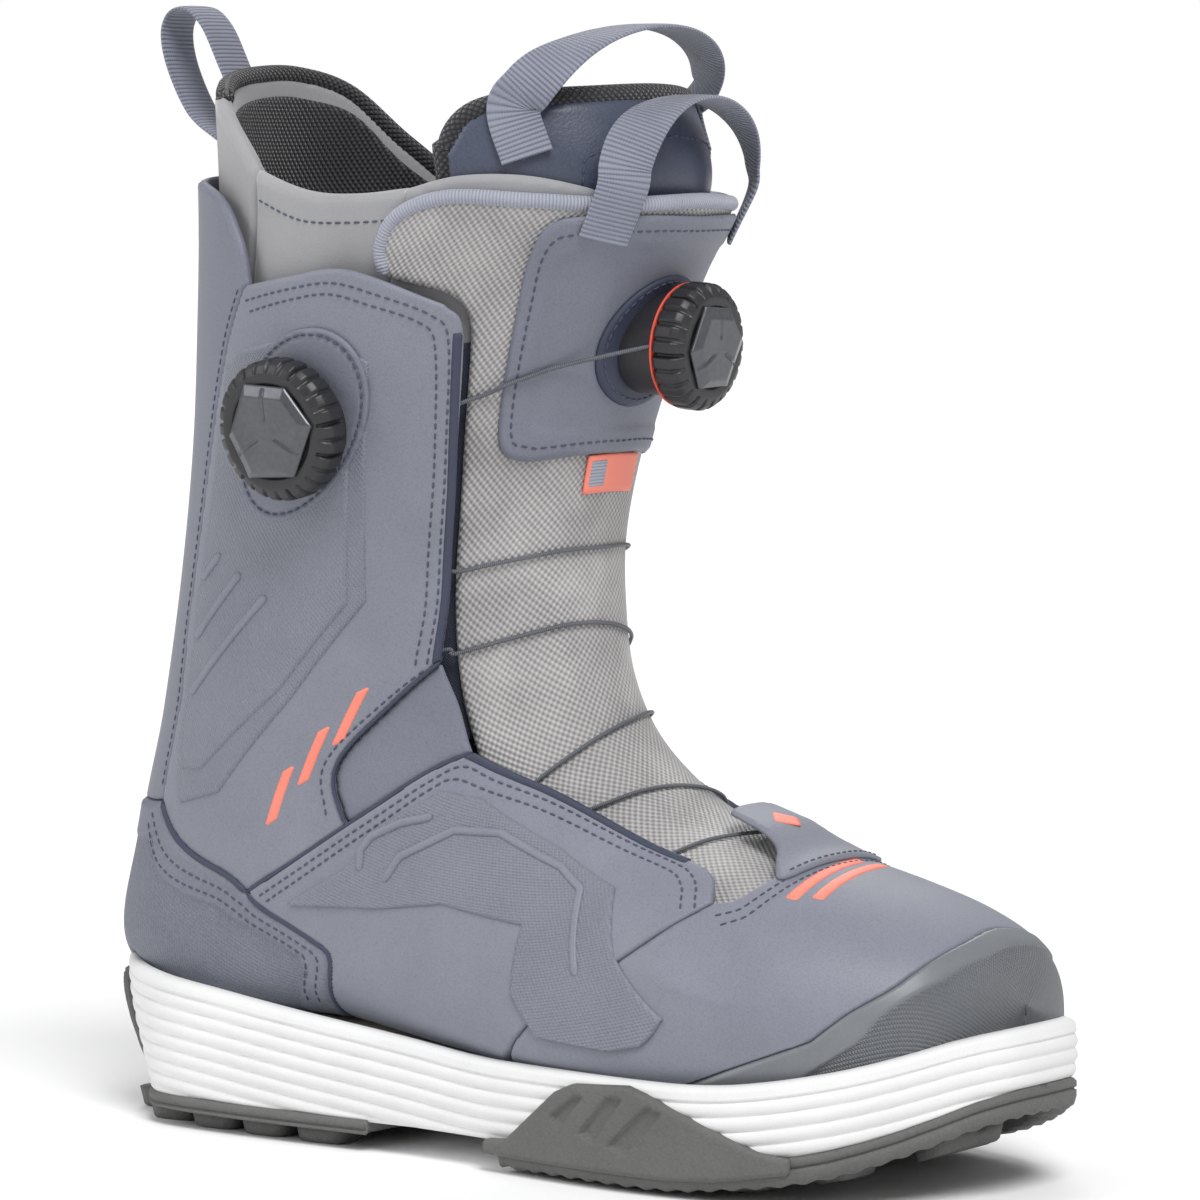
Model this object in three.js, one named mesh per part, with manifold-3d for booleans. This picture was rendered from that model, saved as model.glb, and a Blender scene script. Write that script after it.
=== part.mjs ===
// Snowboard boot, right foot, with two turning lace dials.
// Millimetres. Origin: centre of the middle heel lug, on the floor. +X to the toe, +Y to the
// inner (medial) side of the boot, +Z up.
//
// The upper, the tongue and the liner are all panels cut from one boot form. A place on the
// form is given by t (0 at the toe tip, 18 above the collar), by s (0 on the front ridge, +1 or
// -1 on the sole and back line, plus on the outer side) and by depth (0 on the outside face of
// the shell, minus towards the foot).
import * as THREE from 'three';
import Module from 'manifold-3d';
import { mergeVertices } from 'three/addons/utils/BufferGeometryUtils.js';

const wasm = await Module();
wasm.setup();

// ---------------------------------------------------------------- overall sizes
const BOOT_LENGTH = 298;
const BOOT_WIDTH = 110;
const SHAFT_HEIGHT = 285;

// The pattern below is drawn at these sizes and graded to the sizes above.
const PATTERN_LENGTH = 298;
const PATTERN_WIDTH = 110;
const PATTERN_HEIGHT = 285;
const GRADE_X = BOOT_LENGTH / PATTERN_LENGTH;
const GRADE_Y = BOOT_WIDTH / PATTERN_WIDTH;
const GRADE_Z = SHAFT_HEIGHT / PATTERN_HEIGHT;

// ---------------------------------------------------------------- thicknesses and gaps
const EDGE_GAP = 0.5;
const SEAT_GAP = 0.4;
const SHELL_THICKNESS = 2.6;
const TONGUE_DEPTH = 3.4;
const TONGUE_EDGE_DEPTH = 4.8;
const TONGUE_THICKNESS = 2.2;
const OVERLAY_THICKNESS = 1.6;
const LINER_DEPTH = 5.8;
const LINER_FRONT_DEPTH = 8.2;
const LINER_THICKNESS = 4.6;
const FLAP_THICKNESS = 2.4;
const LINER_TONGUE_DEPTH = LINER_FRONT_DEPTH + FLAP_THICKNESS + 0.8;
const LINER_TONGUE_THICKNESS = 5.5;
const FOOTBED_THICKNESS = 3.4;
const LACE_DIAMETER = 1.1;
const WEBBING_THICKNESS = 1.3;
const WEBBING_WIDTH = 14;

// ---------------------------------------------------------------- sole sizes
const LUG_HEIGHT = 4.5;
const TREAD_THICKNESS = 4.2;
const SOLE_WRAP = 2.0;
const WALL_CLEARANCE = 0.35;

// ---------------------------------------------------------------- dial sizes
const SIDE_DIAL = { radius: 19, t: 13.95, s: 0.515, lift: 0, teeth: 22 };
const FRONT_DIAL = { radius: 17, t: 14.3, s: 0, lift: 5, pitch: 0.07, teeth: 20 };
const FLANGE_THICKNESS = 1.2;
const WALL = 2.4;
const LACE_ROOM = 2.6;
const AXLE_RADIUS = 2.2;
const DIAL_RUN = 0.35;
const SEGMENTS = 28;

// ---------------------------------------------------------------- finishes
const finish = (color, roughness, metalness = 0) => ({ color, roughness, metalness });
const SHELL_BLUE = finish(0xa9acb8, 0.62);
const SHELL_GREY = finish(0x9a9da6, 0.7);
const TONGUE_SILVER = finish(0xb9babb, 0.75);
const LINER_SUEDE = finish(0xc9c9cb, 0.9);
const LINER_NAVY = finish(0x6f7690, 0.7);
const LINER_MESH = finish(0x5f6064, 0.9);
const WEBBING_GREY = finish(0x9da1b0, 0.8);
const DIAL_BLACK = finish(0x58595c, 0.45);
const DIAL_STEEL = finish(0xb8b8ba, 0.3, 1);
const LACE_DARK = finish(0x55575c, 0.5);
const CORAL = finish(0xf2a093, 0.7);
const FOAM_WHITE = finish(0xf0f0f0, 0.6);
const RUBBER_GREY = finish(0x8f8f91, 0.8);
const BOARD_TAN = finish(0xc9b48f, 0.85);

const boot = new THREE.Group();
boot.name = 'snowboard_boot';

function addPiece(name, geometry, look, parent = boot) {
  const material = new THREE.MeshStandardMaterial(look);
  const mesh = new THREE.Mesh(geometry, material);
  mesh.name = name;
  parent.add(mesh);
  return mesh;
}

// ---------------------------------------------------------------- the boot form
// Each row is one cross-section: front point x z, back point x z, half-widths outer and inner,
// centre y, where along front-to-back it is widest, and the squareness of its two halves.
const PATTERN = [
  [238.5, 48, 238.5, 48, 0, 0, 6, 0.6, 2.0, 3.0],
  [236, 61, 237, 36, 23, 21, 6, 0.64, 2.1, 4.0],
  [229, 67, 229, 32, 37, 33, 5, 0.68, 2.2, 5.0],
  [216, 73, 214, 29, 46, 41, 4, 0.7, 2.2, 5.0],
  [201, 78, 192, 27, 52, 46, 2, 0.72, 2.2, 5.0],
  [184, 83, 160, 25, 54, 48, 0, 0.72, 2.2, 5.0],
  [167, 89, 124, 25, 52, 47, -1, 0.7, 2.2, 4.5],
  [150, 95, 85, 27, 48, 44, 0, 0.66, 2.2, 3.5],
  [136, 104, 43, 31, 45, 42, 0, 0.6, 2.2, 2.8],
  [124, 116, 2, 34, 43, 42, 0, 0.54, 2.2, 2.4],
  [117, 131, -34, 44, 43, 42, 0, 0.5, 2.2, 2.2],
  [114, 148, -41, 72, 45, 44, 0, 0.5, 2.2, 2.1],
  [113, 167, -31, 110, 48, 47, 0, 0.5, 2.2, 2.1],
  [117, 188, -23, 148, 51, 50, 0, 0.5, 2.2, 2.1],
  [124, 210, -17, 185, 55, 54, 0, 0.5, 2.2, 2.1],
  [134, 234, -14, 220, 59, 57, 0, 0.5, 2.2, 2.1],
  [147, 260, -13, 252, 62, 60, 0, 0.5, 2.2, 2.1],
  [139, 284, -13, 282, 64, 62, 0, 0.5, 2.2, 2.1],
  [128, 308, -14, 312, 66, 64, 0, 0.5, 2.2, 2.1],
];
const SECTIONS = PATTERN.map((row) => gradeRow(row));
const LAST_T = SECTIONS.length - 1;

function gradeRow([frontX, frontZ, backX, backZ, outer, inner, middle, widest, square1, square2]) {
  return [
    frontX * GRADE_X, frontZ * GRADE_Z, backX * GRADE_X, backZ * GRADE_Z,
    outer * GRADE_Y, inner * GRADE_Y, middle * GRADE_Y, widest, square1, square2,
  ];
}

// Smooth curve through the rows (Catmull-Rom), so any t between rows has a section too.
function sectionAt(t) {
  const clamped = Math.min(Math.max(t, 0), LAST_T);
  const i = Math.min(Math.floor(clamped), LAST_T - 1);
  const f = clamped - i;
  const row = (k) => SECTIONS[Math.min(Math.max(i + k, 0), LAST_T)];
  const reflect = (a, b) => a.map((value, n) => 2 * value - b[n]);
  const before = i === 0 ? reflect(row(0), row(1)) : row(-1);
  const after = i === LAST_T - 1 ? reflect(row(1), row(0)) : row(2);
  return row(0).map((here, n) => {
    const next = row(1)[n];
    const slope = next - before[n];
    const bend = 2 * before[n] - 5 * here + 4 * next - after[n];
    const twist = 3 * here - before[n] - 3 * next + after[n];
    return 0.5 * (2 * here + slope * f + bend * f * f + twist * f * f * f);
  });
}

const TOE_HEIGHT = 56 * GRADE_Z;
const TOE_HALF_WIDTH = 40 * GRADE_Y;
const TOE_ROWS = 4;

// A point of the form at (t, s) and a depth; the section shrinks evenly with depth.
function formPoint(t, s, depth) {
  const [frontX, frontZ, backX, backZ, outer, inner, middle, widest, square1, square2] = sectionAt(t);
  const angle = Math.abs(s) * Math.PI;
  const cosine = Math.abs(Math.cos(angle));
  const sine = Math.abs(Math.sin(angle));
  const square = angle < Math.PI / 2 ? square1 : square2;
  const reach = (cosine ** square + sine ** square) ** (-1 / square);
  const along = angle < Math.PI / 2 ? widest * (1 - reach * cosine) : widest + (1 - widest) * reach * cosine;
  const height = Math.hypot(backX - frontX, backZ - frontZ);
  const grow = depth * Math.min(1, height / TOE_HEIGHT);
  const unitX = height > 0.001 ? (backX - frontX) / height : 0;
  const unitZ = height > 0.001 ? (backZ - frontZ) / height : 0;
  const slide = along * (height + 2 * grow) - grow;
  const half = s >= 0 ? -outer : inner;
  const spread = half * (1 + depth / Math.max(Math.abs(half), TOE_HALF_WIDTH));
  const toeShift = depth * Math.max(0, 1 - t / TOE_ROWS) ** 2;
  return new THREE.Vector3(
    frontX + unitX * slide + toeShift,
    middle + spread * reach * sine,
    frontZ + unitZ * slide,
  );
}

// ---------------------------------------------------------------- the facet net
// All panels are cut from one net of facets, so neighbours and layers nest exactly.
const ROWS = [0, 0.5, 1, 1.5, 2, 3, 4, 5, 6, 7, 8, 8.5, 9, 9.5, 10, 10.5, 11, 12, 13, 14, 15, 16, 17, 18];
const COLUMNS = [0, 0.07, 0.14, 0.21, 0.28, 0.35, 0.42, 0.5, 0.58, 0.66, 0.74, 0.82, 0.88, 0.94, 1];
const HALF = COLUMNS.length - 1;
const SNAP = 0.1;

function rowToT(row) {
  const i = Math.min(Math.max(Math.floor(row), 0), ROWS.length - 2);
  return ROWS[i] + (ROWS[i + 1] - ROWS[i]) * (row - i);
}

function tToRow(t) {
  let i = 0;
  while (i < ROWS.length - 2 && t > ROWS[i + 1]) i += 1;
  return i + (t - ROWS[i]) / (ROWS[i + 1] - ROWS[i]);
}

function columnToS(column) {
  if (column > HALF) return 2 - columnToS(2 * HALF - column);
  const size = Math.abs(column);
  const i = Math.min(Math.floor(size), HALF - 1);
  const value = COLUMNS[i] + (COLUMNS[i + 1] - COLUMNS[i]) * (size - i);
  return column < 0 ? -value : value;
}

function sToColumn(s) {
  if (s > 1) return 2 * HALF - sToColumn(2 - s);
  const size = Math.abs(s);
  let i = 0;
  while (i < HALF - 1 && size > COLUMNS[i + 1]) i += 1;
  const value = i + (size - COLUMNS[i]) / (COLUMNS[i + 1] - COLUMNS[i]);
  return s < 0 ? -value : value;
}

const depthOf = (depth, t, s) => (typeof depth === 'function' ? depth(t, s) : depth);

function netNode(row, column, depth) {
  const t = rowToT(row);
  let s = columnToS(column);
  if (s > 1) s -= 2;
  return formPoint(t, s, depthOf(depth, t, s));
}

// The point of the faceted form at any row and column, on the flat facet it belongs to.
function netPoint(row, column, depth) {
  const i = Math.floor(row + 1e-7);
  const j = Math.floor(column + 1e-7);
  const u = Math.max(row - i, 0);
  const v = Math.max(column - j, 0);
  const a = netNode(i, j, depth);
  if (u < 1e-9 && v < 1e-9) return a;
  const c = netNode(i + 1, j + 1, depth);
  const b = u >= v ? netNode(i + 1, j, depth) : netNode(i, j + 1, depth);
  const [wa, wb, wc] = u >= v ? [1 - u, u - v, v] : [1 - v, v - u, u];
  return a.multiplyScalar(wa).addScaledVector(b, wb).addScaledVector(c, wc);
}

const surfacePoint = (t, s, depth) => netPoint(tToRow(t), sToColumn(s), depth);

function surfaceNormal(t, s) {
  const step = 0.02;
  const alongT = formPoint(t + step, s, 0).sub(formPoint(t - step, s, 0));
  const alongS = formPoint(t, s + step, 0).sub(formPoint(t, s - step, 0));
  return alongT.cross(alongS).normalize();
}

// ---------------------------------------------------------------- cutting panels
const snapValue = (value) => {
  const near = Math.round(value);
  return Math.abs(value - near) < SNAP ? near : value;
};

function snapCrossing([row, column]) {
  const nearRow = Math.round(row);
  const nearColumn = Math.round(column);
  const close = Math.abs(row - nearRow) < SNAP && Math.abs(column - nearColumn) < SNAP;
  return close ? [nearRow, nearColumn] : [row, column];
}

// Keeps the part of a flat outline on the left of the line from a to b.
function clipLeft(outline, a, b) {
  const side = ([x, y]) => (b[0] - a[0]) * (y - a[1]) - (b[1] - a[1]) * (x - a[0]);
  const kept = [];
  outline.forEach((here, i) => {
    const next = outline[(i + 1) % outline.length];
    const sideHere = side(here);
    const sideNext = side(next);
    if (sideHere >= -1e-9) kept.push(here);
    if ((sideHere > 1e-9 && sideNext < -1e-9) || (sideHere < -1e-9 && sideNext > 1e-9)) {
      const f = sideHere / (sideHere - sideNext);
      kept.push([here[0] + (next[0] - here[0]) * f, here[1] + (next[1] - here[1]) * f]);
    }
  });
  return kept;
}

const turn = (a, b, c) => (b[0] - a[0]) * (c[1] - a[1]) - (b[1] - a[1]) * (c[0] - a[0]);
const outlineArea = (points) => points.reduce((sum, p, i) => {
  const q = points[(i + 1) % points.length];
  return sum + (p[0] * q[1] - q[0] * p[1]) / 2;
}, 0);

// Cuts ears off an outline, best-shaped first; points in a straight row are kept.
function triangulate(outline) {
  const ring = [...outline];
  const triangles = [];
  while (ring.length > 3) {
    let best = -1;
    let bestShape = 0;
    ring.forEach((here, i) => {
      const before = ring[(i + ring.length - 1) % ring.length];
      const after = ring[(i + 1) % ring.length];
      const size = turn(before, here, after);
      const holds = (p) => p !== before && p !== here && p !== after
        && turn(before, here, p) >= -1e-9 && turn(here, after, p) >= -1e-9 && turn(after, before, p) >= -1e-9;
      if (size < 1e-7 || ring.some(holds)) return;
      const span = Math.hypot(after[0] - before[0], after[1] - before[1]);
      if (size / (span + 0.01) > bestShape) {
        best = i;
        bestShape = size / (span + 0.01);
      }
    });
    if (best < 0) break;
    const n = ring.length;
    triangles.push([ring[(best + n - 1) % n], ring[best], ring[(best + 1) % n]]);
    ring.splice(best, 1);
  }
  if (ring.length === 3 && turn(...ring) > 1e-7) triangles.push(ring);
  return triangles;
}

// The net facets inside an outline, as flat triangles in (row, column).
function netTriangles(outline) {
  let ring = outline.map(([t, s]) => [snapValue(tToRow(t)), snapValue(sToColumn(s))]);
  if (outlineArea(ring) < 0) ring = ring.reverse();
  const rows = ring.map((p) => p[0]);
  const columns = ring.map((p) => p[1]);
  const triangles = [];
  for (let i = Math.floor(Math.min(...rows)); i < Math.max(...rows); i += 1) {
    const strip = clipLeft(clipLeft(ring, [i, 1], [i, 0]), [i + 1, 0], [i + 1, 1]);
    if (strip.length < 3) continue;
    for (let j = Math.floor(Math.min(...columns)); j < Math.max(...columns); j += 1) {
      const facets = [
        [[i, j], [i + 1, j], [i + 1, j + 1]],
        [[i, j], [i + 1, j + 1], [i, j + 1]],
      ];
      facets.forEach((facet) => {
        let piece = strip;
        facet.forEach((corner, k) => {
          if (piece.length > 2) piece = clipLeft(piece, corner, facet[(k + 1) % 3]);
        });
        const snapped = piece.map(snapCrossing);
        const clean = snapped.filter((p, k) => {
          const q = snapped[(k + 1) % snapped.length];
          return Math.hypot(p[0] - q[0], p[1] - q[1]) > 1e-6;
        });
        if (clean.length > 2 && outlineArea(clean) > 1e-6) triangles.push(...triangulate(clean));
      });
    }
  }
  return triangles;
}

// Moves the points on a panel's edge inwards along the face, by half the gap between pieces.
function trimEdges(points, edges, normals) {
  const moves = new Map();
  edges.forEach(([a, b]) => {
    const along = points[b].clone().sub(points[a]);
    if (along.length() < 1e-6) return;
    [a, b].forEach((k) => {
      const inward = normals[k].clone().cross(along).normalize();
      moves.set(k, [...(moves.get(k) ?? []), inward]);
    });
  });
  moves.forEach((list, k) => {
    const sum = list.reduce((total, v) => total.add(v), new THREE.Vector3());
    const mean = sum.normalize();
    const cosine = Math.max(0.5, mean.dot(list[0]));
    points[k].addScaledVector(mean, EDGE_GAP / 2 / cosine);
  });
}

// A shell panel: outline in (t, s), from one depth to another. The outline runs any way round.
function panel(outline, outerDepth, innerDepth) {
  const keys = new Map();
  const outer = [];
  const inner = [];
  const faces = [];
  const place = ([row, column]) => {
    const top = netPoint(row, column, outerDepth);
    const key = [top.x, top.y, top.z].map((v) => Math.round(v * 1e4)).join();
    if (!keys.has(key)) {
      keys.set(key, outer.length);
      outer.push(top);
      inner.push(netPoint(row, column, innerDepth));
    }
    return keys.get(key);
  };
  netTriangles(outline).forEach((triangle) => {
    const [a, b, c] = triangle.map(place);
    if (a !== b && b !== c && c !== a) faces.push([a, b, c]);
  });
  const used = new Set(faces.flatMap(([a, b, c]) => [`${a},${b}`, `${b},${c}`, `${c},${a}`]));
  const rim = faces.flatMap(([a, b, c]) => [[a, b], [b, c], [c, a]]).filter(([a, b]) => !used.has(`${b},${a}`));
  const normals = outer.map(() => new THREE.Vector3());
  faces.forEach(([a, b, c]) => {
    const ab = outer[b].clone().sub(outer[a]);
    const normal = ab.cross(outer[c].clone().sub(outer[a]));
    [a, b, c].forEach((k) => normals[k].add(normal));
  });
  normals.forEach((normal) => normal.normalize());
  trimEdges(outer, rim, normals);
  trimEdges(inner, rim, normals);
  const count = outer.length;
  const all = [...outer, ...inner];
  const triangles = faces.flatMap(([a, b, c]) => [[a, b, c], [a + count, c + count, b + count]]);
  rim.forEach(([a, b]) => triangles.push([b, a, a + count], [b, a + count, b + count]));
  return solid(all, triangles);
}

// A closed solid from points and triangles; turned to face outwards.
function solid(points, triangles) {
  let volume = 0;
  triangles.forEach(([a, b, c]) => {
    volume += points[a].dot(points[b].clone().cross(points[c])) / 6;
  });
  const turned = volume < 0 ? triangles.map(([a, b, c]) => [a, c, b]) : triangles;
  const geometry = new THREE.BufferGeometry();
  geometry.setAttribute('position', new THREE.Float32BufferAttribute(points.flatMap((p) => [p.x, p.y, p.z]), 3));
  geometry.setIndex(turned.flat());
  geometry.computeVertexNormals();
  return geometry;
}

// ---------------------------------------------------------------- joining and cutting solids
function toManifold(geometry) {
  const bare = geometry.clone();
  bare.deleteAttribute('normal');
  bare.deleteAttribute('uv');
  const merged = mergeVertices(bare, 1e-4);
  const mesh = new wasm.Mesh({
    numProp: 3,
    vertProperties: new Float32Array(merged.attributes.position.array),
    triVerts: new Uint32Array(merged.index.array),
  });
  return new wasm.Manifold(mesh);
}

function fromManifold(shape) {
  const mesh = shape.getMesh();
  const geometry = new THREE.BufferGeometry();
  geometry.setAttribute('position', new THREE.Float32BufferAttribute(mesh.vertProperties, 3));
  geometry.setIndex(Array.from(mesh.triVerts));
  geometry.computeVertexNormals();
  return geometry;
}

const joined = (...geometries) => fromManifold(geometries.map(toManifold).reduce((a, b) => a.add(b)));
const cutFrom = (geometry, ...cutters) => fromManifold(
  cutters.map(toManifold).reduce((shape, cutter) => shape.subtract(cutter), toManifold(geometry)),
);
const common = (a, b) => fromManifold(toManifold(a).intersect(toManifold(b)));

// The whole form as one solid between two rows, for hollowing other pieces to fit it.
function formSolid(fromT, toT, depth) {
  const points = [];
  const triangles = [];
  const around = 2 * HALF;
  const first = Math.round(tToRow(fromT));
  const last = Math.round(tToRow(toT));
  for (let row = first; row <= last; row += 1) {
    for (let j = 0; j < around; j += 1) points.push(netNode(row, j - HALF, depth));
  }
  const index = (i, j) => i * around + ((j + around) % around);
  for (let i = 0; i < last - first; i += 1) {
    for (let j = 0; j < around; j += 1) {
      triangles.push([index(i, j), index(i + 1, j), index(i + 1, j + 1)]);
      triangles.push([index(i, j), index(i + 1, j + 1), index(i, j + 1)]);
    }
  }
  [0, last - first].forEach((i) => {
    const centre = new THREE.Vector3();
    for (let j = 0; j < around; j += 1) centre.addScaledVector(points[index(i, j)], 1 / around);
    points.push(centre);
    const hub = points.length - 1;
    for (let j = 0; j < around; j += 1) {
      triangles.push(i === 0 ? [hub, index(i, j), index(i, j + 1)] : [hub, index(i, j + 1), index(i, j)]);
    }
  });
  const welded = mergeVertices(solid(points, triangles), 1e-4);
  return dropEmptyFaces(welded);
}

function dropEmptyFaces(geometry) {
  const kept = [];
  const index = geometry.index.array;
  for (let k = 0; k < index.length; k += 3) {
    const [a, b, c] = [index[k], index[k + 1], index[k + 2]];
    if (a !== b && b !== c && c !== a) kept.push(a, b, c);
  }
  geometry.setIndex(kept);
  return geometry;
}

// ---------------------------------------------------------------- sole unit
// Plan outline of the sole: x, outer half-width, inner half-width.
const SOLE_PLAN = [
  [-42, 11, 11], [-38, 20, 20], [-30, 29, 29], [-18, 36.5, 36], [-4, 41.5, 40.5], [20, 44, 43],
  [45, 45, 43], [70, 45.5, 42.5], [95, 47.5, 44], [120, 52, 47], [145, 56, 50.5], [165, 57.5, 52],
  [185, 56.5, 51], [203, 52.5, 48], [218, 45.5, 43], [231, 34, 35.5], [240, 21, 26], [246, 8, 16],
].map(([x, outer, inner]) => [x * GRADE_X, outer * GRADE_Y, inner * GRADE_Y]);
const grade = (rows) => rows.map(([x, z]) => [x * GRADE_X, z * GRADE_Z]);
const RIM_TOP = grade([[-42, 46], [-30, 43], [5, 40], [47, 35], [75, 32], [102, 29], [179, 29], [197, 31], [222, 36], [246, 45]]);
const FLOOR_LINE = grade([[-42, 0], [170, 0], [185, 1.5], [206, 4.2], [220, 8], [234, 14], [246, 21]]);
const GRIND_LINE = 4;

function readProfile(rows, x) {
  const last = rows.length - 1;
  if (x <= rows[0][0]) return rows[0].slice(1);
  if (x >= rows[last][0]) return rows[last].slice(1);
  let i = 0;
  while (x > rows[i + 1][0]) i += 1;
  const f = (x - rows[i][0]) / (rows[i + 1][0] - rows[i][0]);
  return rows[i].slice(1).map((value, k) => value + (rows[i + 1][k + 1] - value) * f);
}

// A slab with the sole's plan, grown sideways, between two heights that may change along x.
function soleSlab(fromX, toX, grow, bottomAt, topAt, across = 4) {
  const ends = SOLE_PLAN.map((row) => row[0]).filter((x) => x > fromX + 2 && x < toX - 2);
  const xs = [fromX, ...ends, toX];
  const points = [];
  const stretch = (x) => (x < 0 ? x * (1 - grow / SOLE_PLAN[0][0]) : x * (1 + grow / SOLE_PLAN[SOLE_PLAN.length - 1][0]));
  xs.forEach((x) => {
    const [outer, inner] = readProfile(SOLE_PLAN, x);
    for (let j = 0; j <= across; j += 1) {
      const y = -(outer + grow) + (outer + inner + 2 * grow) * (j / across);
      points.push(new THREE.Vector3(stretch(x), y, bottomAt(x)));
    }
    for (let j = 0; j <= across; j += 1) {
      const y = -(outer + grow) + (outer + inner + 2 * grow) * (j / across);
      points.push(new THREE.Vector3(stretch(x), y, topAt(x)));
    }
  });
  const per = 2 * (across + 1);
  const ring = [];
  for (let j = 0; j <= across; j += 1) ring.push(j);
  for (let j = across; j >= 0; j -= 1) ring.push(across + 1 + j);
  const triangles = [];
  for (let i = 0; i < xs.length - 1; i += 1) {
    ring.forEach((a, k) => {
      const b = ring[(k + 1) % ring.length];
      triangles.push([i * per + a, (i + 1) * per + a, (i + 1) * per + b]);
      triangles.push([i * per + a, (i + 1) * per + b, i * per + b]);
    });
  }
  [0, xs.length - 1].forEach((i) => {
    for (let j = 0; j < across; j += 1) {
      const [a, b, c, d] = [j, j + 1, across + 2 + j, across + 1 + j].map((k) => i * per + k);
      const end = i === 0 ? [[a, b, c], [a, c, d]] : [[a, c, b], [a, d, c]];
      triangles.push(...end);
    }
  });
  return solid(points, triangles);
}

// A lug: a low block with drafted sides; its foot is flat and its top sinks into the tread.
function lug(x, y, length, width, height, floor) {
  const draft = 1.2;
  const outline = new THREE.Shape([
    new THREE.Vector2(-length / 2, -width / 2), new THREE.Vector2(length / 2, -width / 2),
    new THREE.Vector2(length / 2, width / 2), new THREE.Vector2(-length / 2, width / 2),
  ]);
  const block = new THREE.ExtrudeGeometry(outline, { depth: height, bevelEnabled: false });
  const position = block.attributes.position;
  for (let k = 0; k < position.count; k += 1) {
    const spread = 1 + (2 * draft * position.getZ(k)) / height / Math.min(length, width);
    position.setXY(k, position.getX(k) * spread, position.getY(k) * spread);
  }
  block.translate(x, y, floor);
  return block;
}

const floorAt = (x) => readProfile(FLOOR_LINE, x)[0];
const treadBottomAt = (x) => floorAt(x) + LUG_HEIGHT;
const treadTopAt = (x) => treadBottomAt(x) + TREAD_THICKNESS;
const rimTopAt = (x) => readProfile(RIM_TOP, x)[0];
const HEEL_END = 64 * GRADE_X;
const FOREFOOT_START = 112 * GRADE_X;
const SOLE_START = SOLE_PLAN[0][0];
const SOLE_TIP = SOLE_PLAN[SOLE_PLAN.length - 1][0];

function makeMidsole() {
  const bottomAt = (x) => treadTopAt(x) + SEAT_GAP;
  const block = soleSlab(SOLE_START, SOLE_TIP, 0, bottomAt, rimTopAt);
  return cutFrom(block, formSolid(0, 12, SEAT_GAP + 0.2));
}

// The tall side walls of the treads: the heel strip and the two forefoot wings.
function soleWrap(fromX, toX, topAt) {
  const ring = soleSlab(fromX, toX, SOLE_WRAP, treadBottomAt, topAt, 1);
  const core = soleSlab(SOLE_START - 10, SOLE_TIP + 10, WALL_CLEARANCE, () => -10, () => 90, 1);
  return cutFrom(ring, core);
}

function heelLugs() {
  const lugs = [lug(0, 0, 22, 18, LUG_HEIGHT + 1, 0)];
  const places = [
    [-30, -11, 13, 14], [-30, 11, 13, 14], [-14, -27, 14, 11], [-14, 27, 14, 11],
    [5, -32, 14, 12], [5, 31, 14, 12], [24, -34, 14, 12], [24, 33, 14, 12],
    [44, -35, 15, 12], [44, 33, 15, 12], [28, 0, 18, 20],
  ];
  places.forEach(([x, y, length, width]) => {
    lugs.push(lug(x * GRADE_X, y * GRADE_Y, length, width, LUG_HEIGHT + 1, 0));
  });
  return lugs;
}

function makeHeelTread() {
  const tread = soleSlab(SOLE_START, HEEL_END, 0, treadBottomAt, treadTopAt);
  const strip = backStrip();
  return joined(tread, strip, ...heelLugs());
}

function backStrip() {
  const wallTop = 38 * GRADE_Z;
  const wall = soleSlab(SOLE_START, -30 * GRADE_X, SOLE_WRAP, treadBottomAt, () => wallTop, 1);
  const core = soleSlab(SOLE_START, SOLE_TIP, WALL_CLEARANCE, (x) => treadTopAt(x) - 0.6, () => 90, 1);
  return cutFrom(wall, core);
}

const WING = grade([[112, 9], [122, 15], [148, 27], [172, 26], [196, 14]]);

function forefootWings() {
  const wingTop = (x) => Math.max(readProfile(WING, x)[0], treadTopAt(x) + 0.5);
  const wall = soleSlab(WING[0][0] + 3, WING[WING.length - 1][0], SOLE_WRAP, treadBottomAt, wingTop, 1);
  const core = soleSlab(SOLE_START, SOLE_TIP, WALL_CLEARANCE, (x) => treadTopAt(x) - 0.6, () => 90, 1);
  return cutFrom(wall, core);
}

function forefootLugs() {
  const lugs = [lug(148 * GRADE_X, 0, 20, 22, LUG_HEIGHT + 1, 0)];
  const rows = [
    [124, -40, 13, 14], [124, 36, 13, 14], [143, -43, 14, 13], [143, 39, 14, 13],
    [163, -45, 15, 12], [163, 41, 15, 12], [124, 0, 12, 22],
    [169, -20, 13, 16], [169, 18, 13, 16],
  ];
  rows.forEach(([x, y, length, width]) => {
    lugs.push(lug(x * GRADE_X, y * GRADE_Y, length, width, LUG_HEIGHT + 1, 0));
  });
  const rising = [[187, -41, 13, 14], [187, 36, 13, 14], [190, 0, 14, 20], [207, -31, 12, 14], [207, 27, 12, 14], [222, 0, 11, 30]];
  rising.forEach(([x, y, length, width]) => {
    const block = lug(0, 0, length, width, LUG_HEIGHT + 1, 0);
    const slope = (floorAt((x + 6) * GRADE_X) - floorAt((x - 6) * GRADE_X)) / 12;
    block.rotateY(-Math.atan(slope));
    block.translate(x * GRADE_X, y * GRADE_Y, floorAt(x * GRADE_X) + 0.2);
    lugs.push(block);
  });
  return lugs;
}

function makeForefootTread() {
  const tread = soleSlab(FOREFOOT_START, SOLE_TIP, 0, treadBottomAt, treadTopAt);
  return joined(tread, forefootWings(), ...forefootLugs());
}

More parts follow.
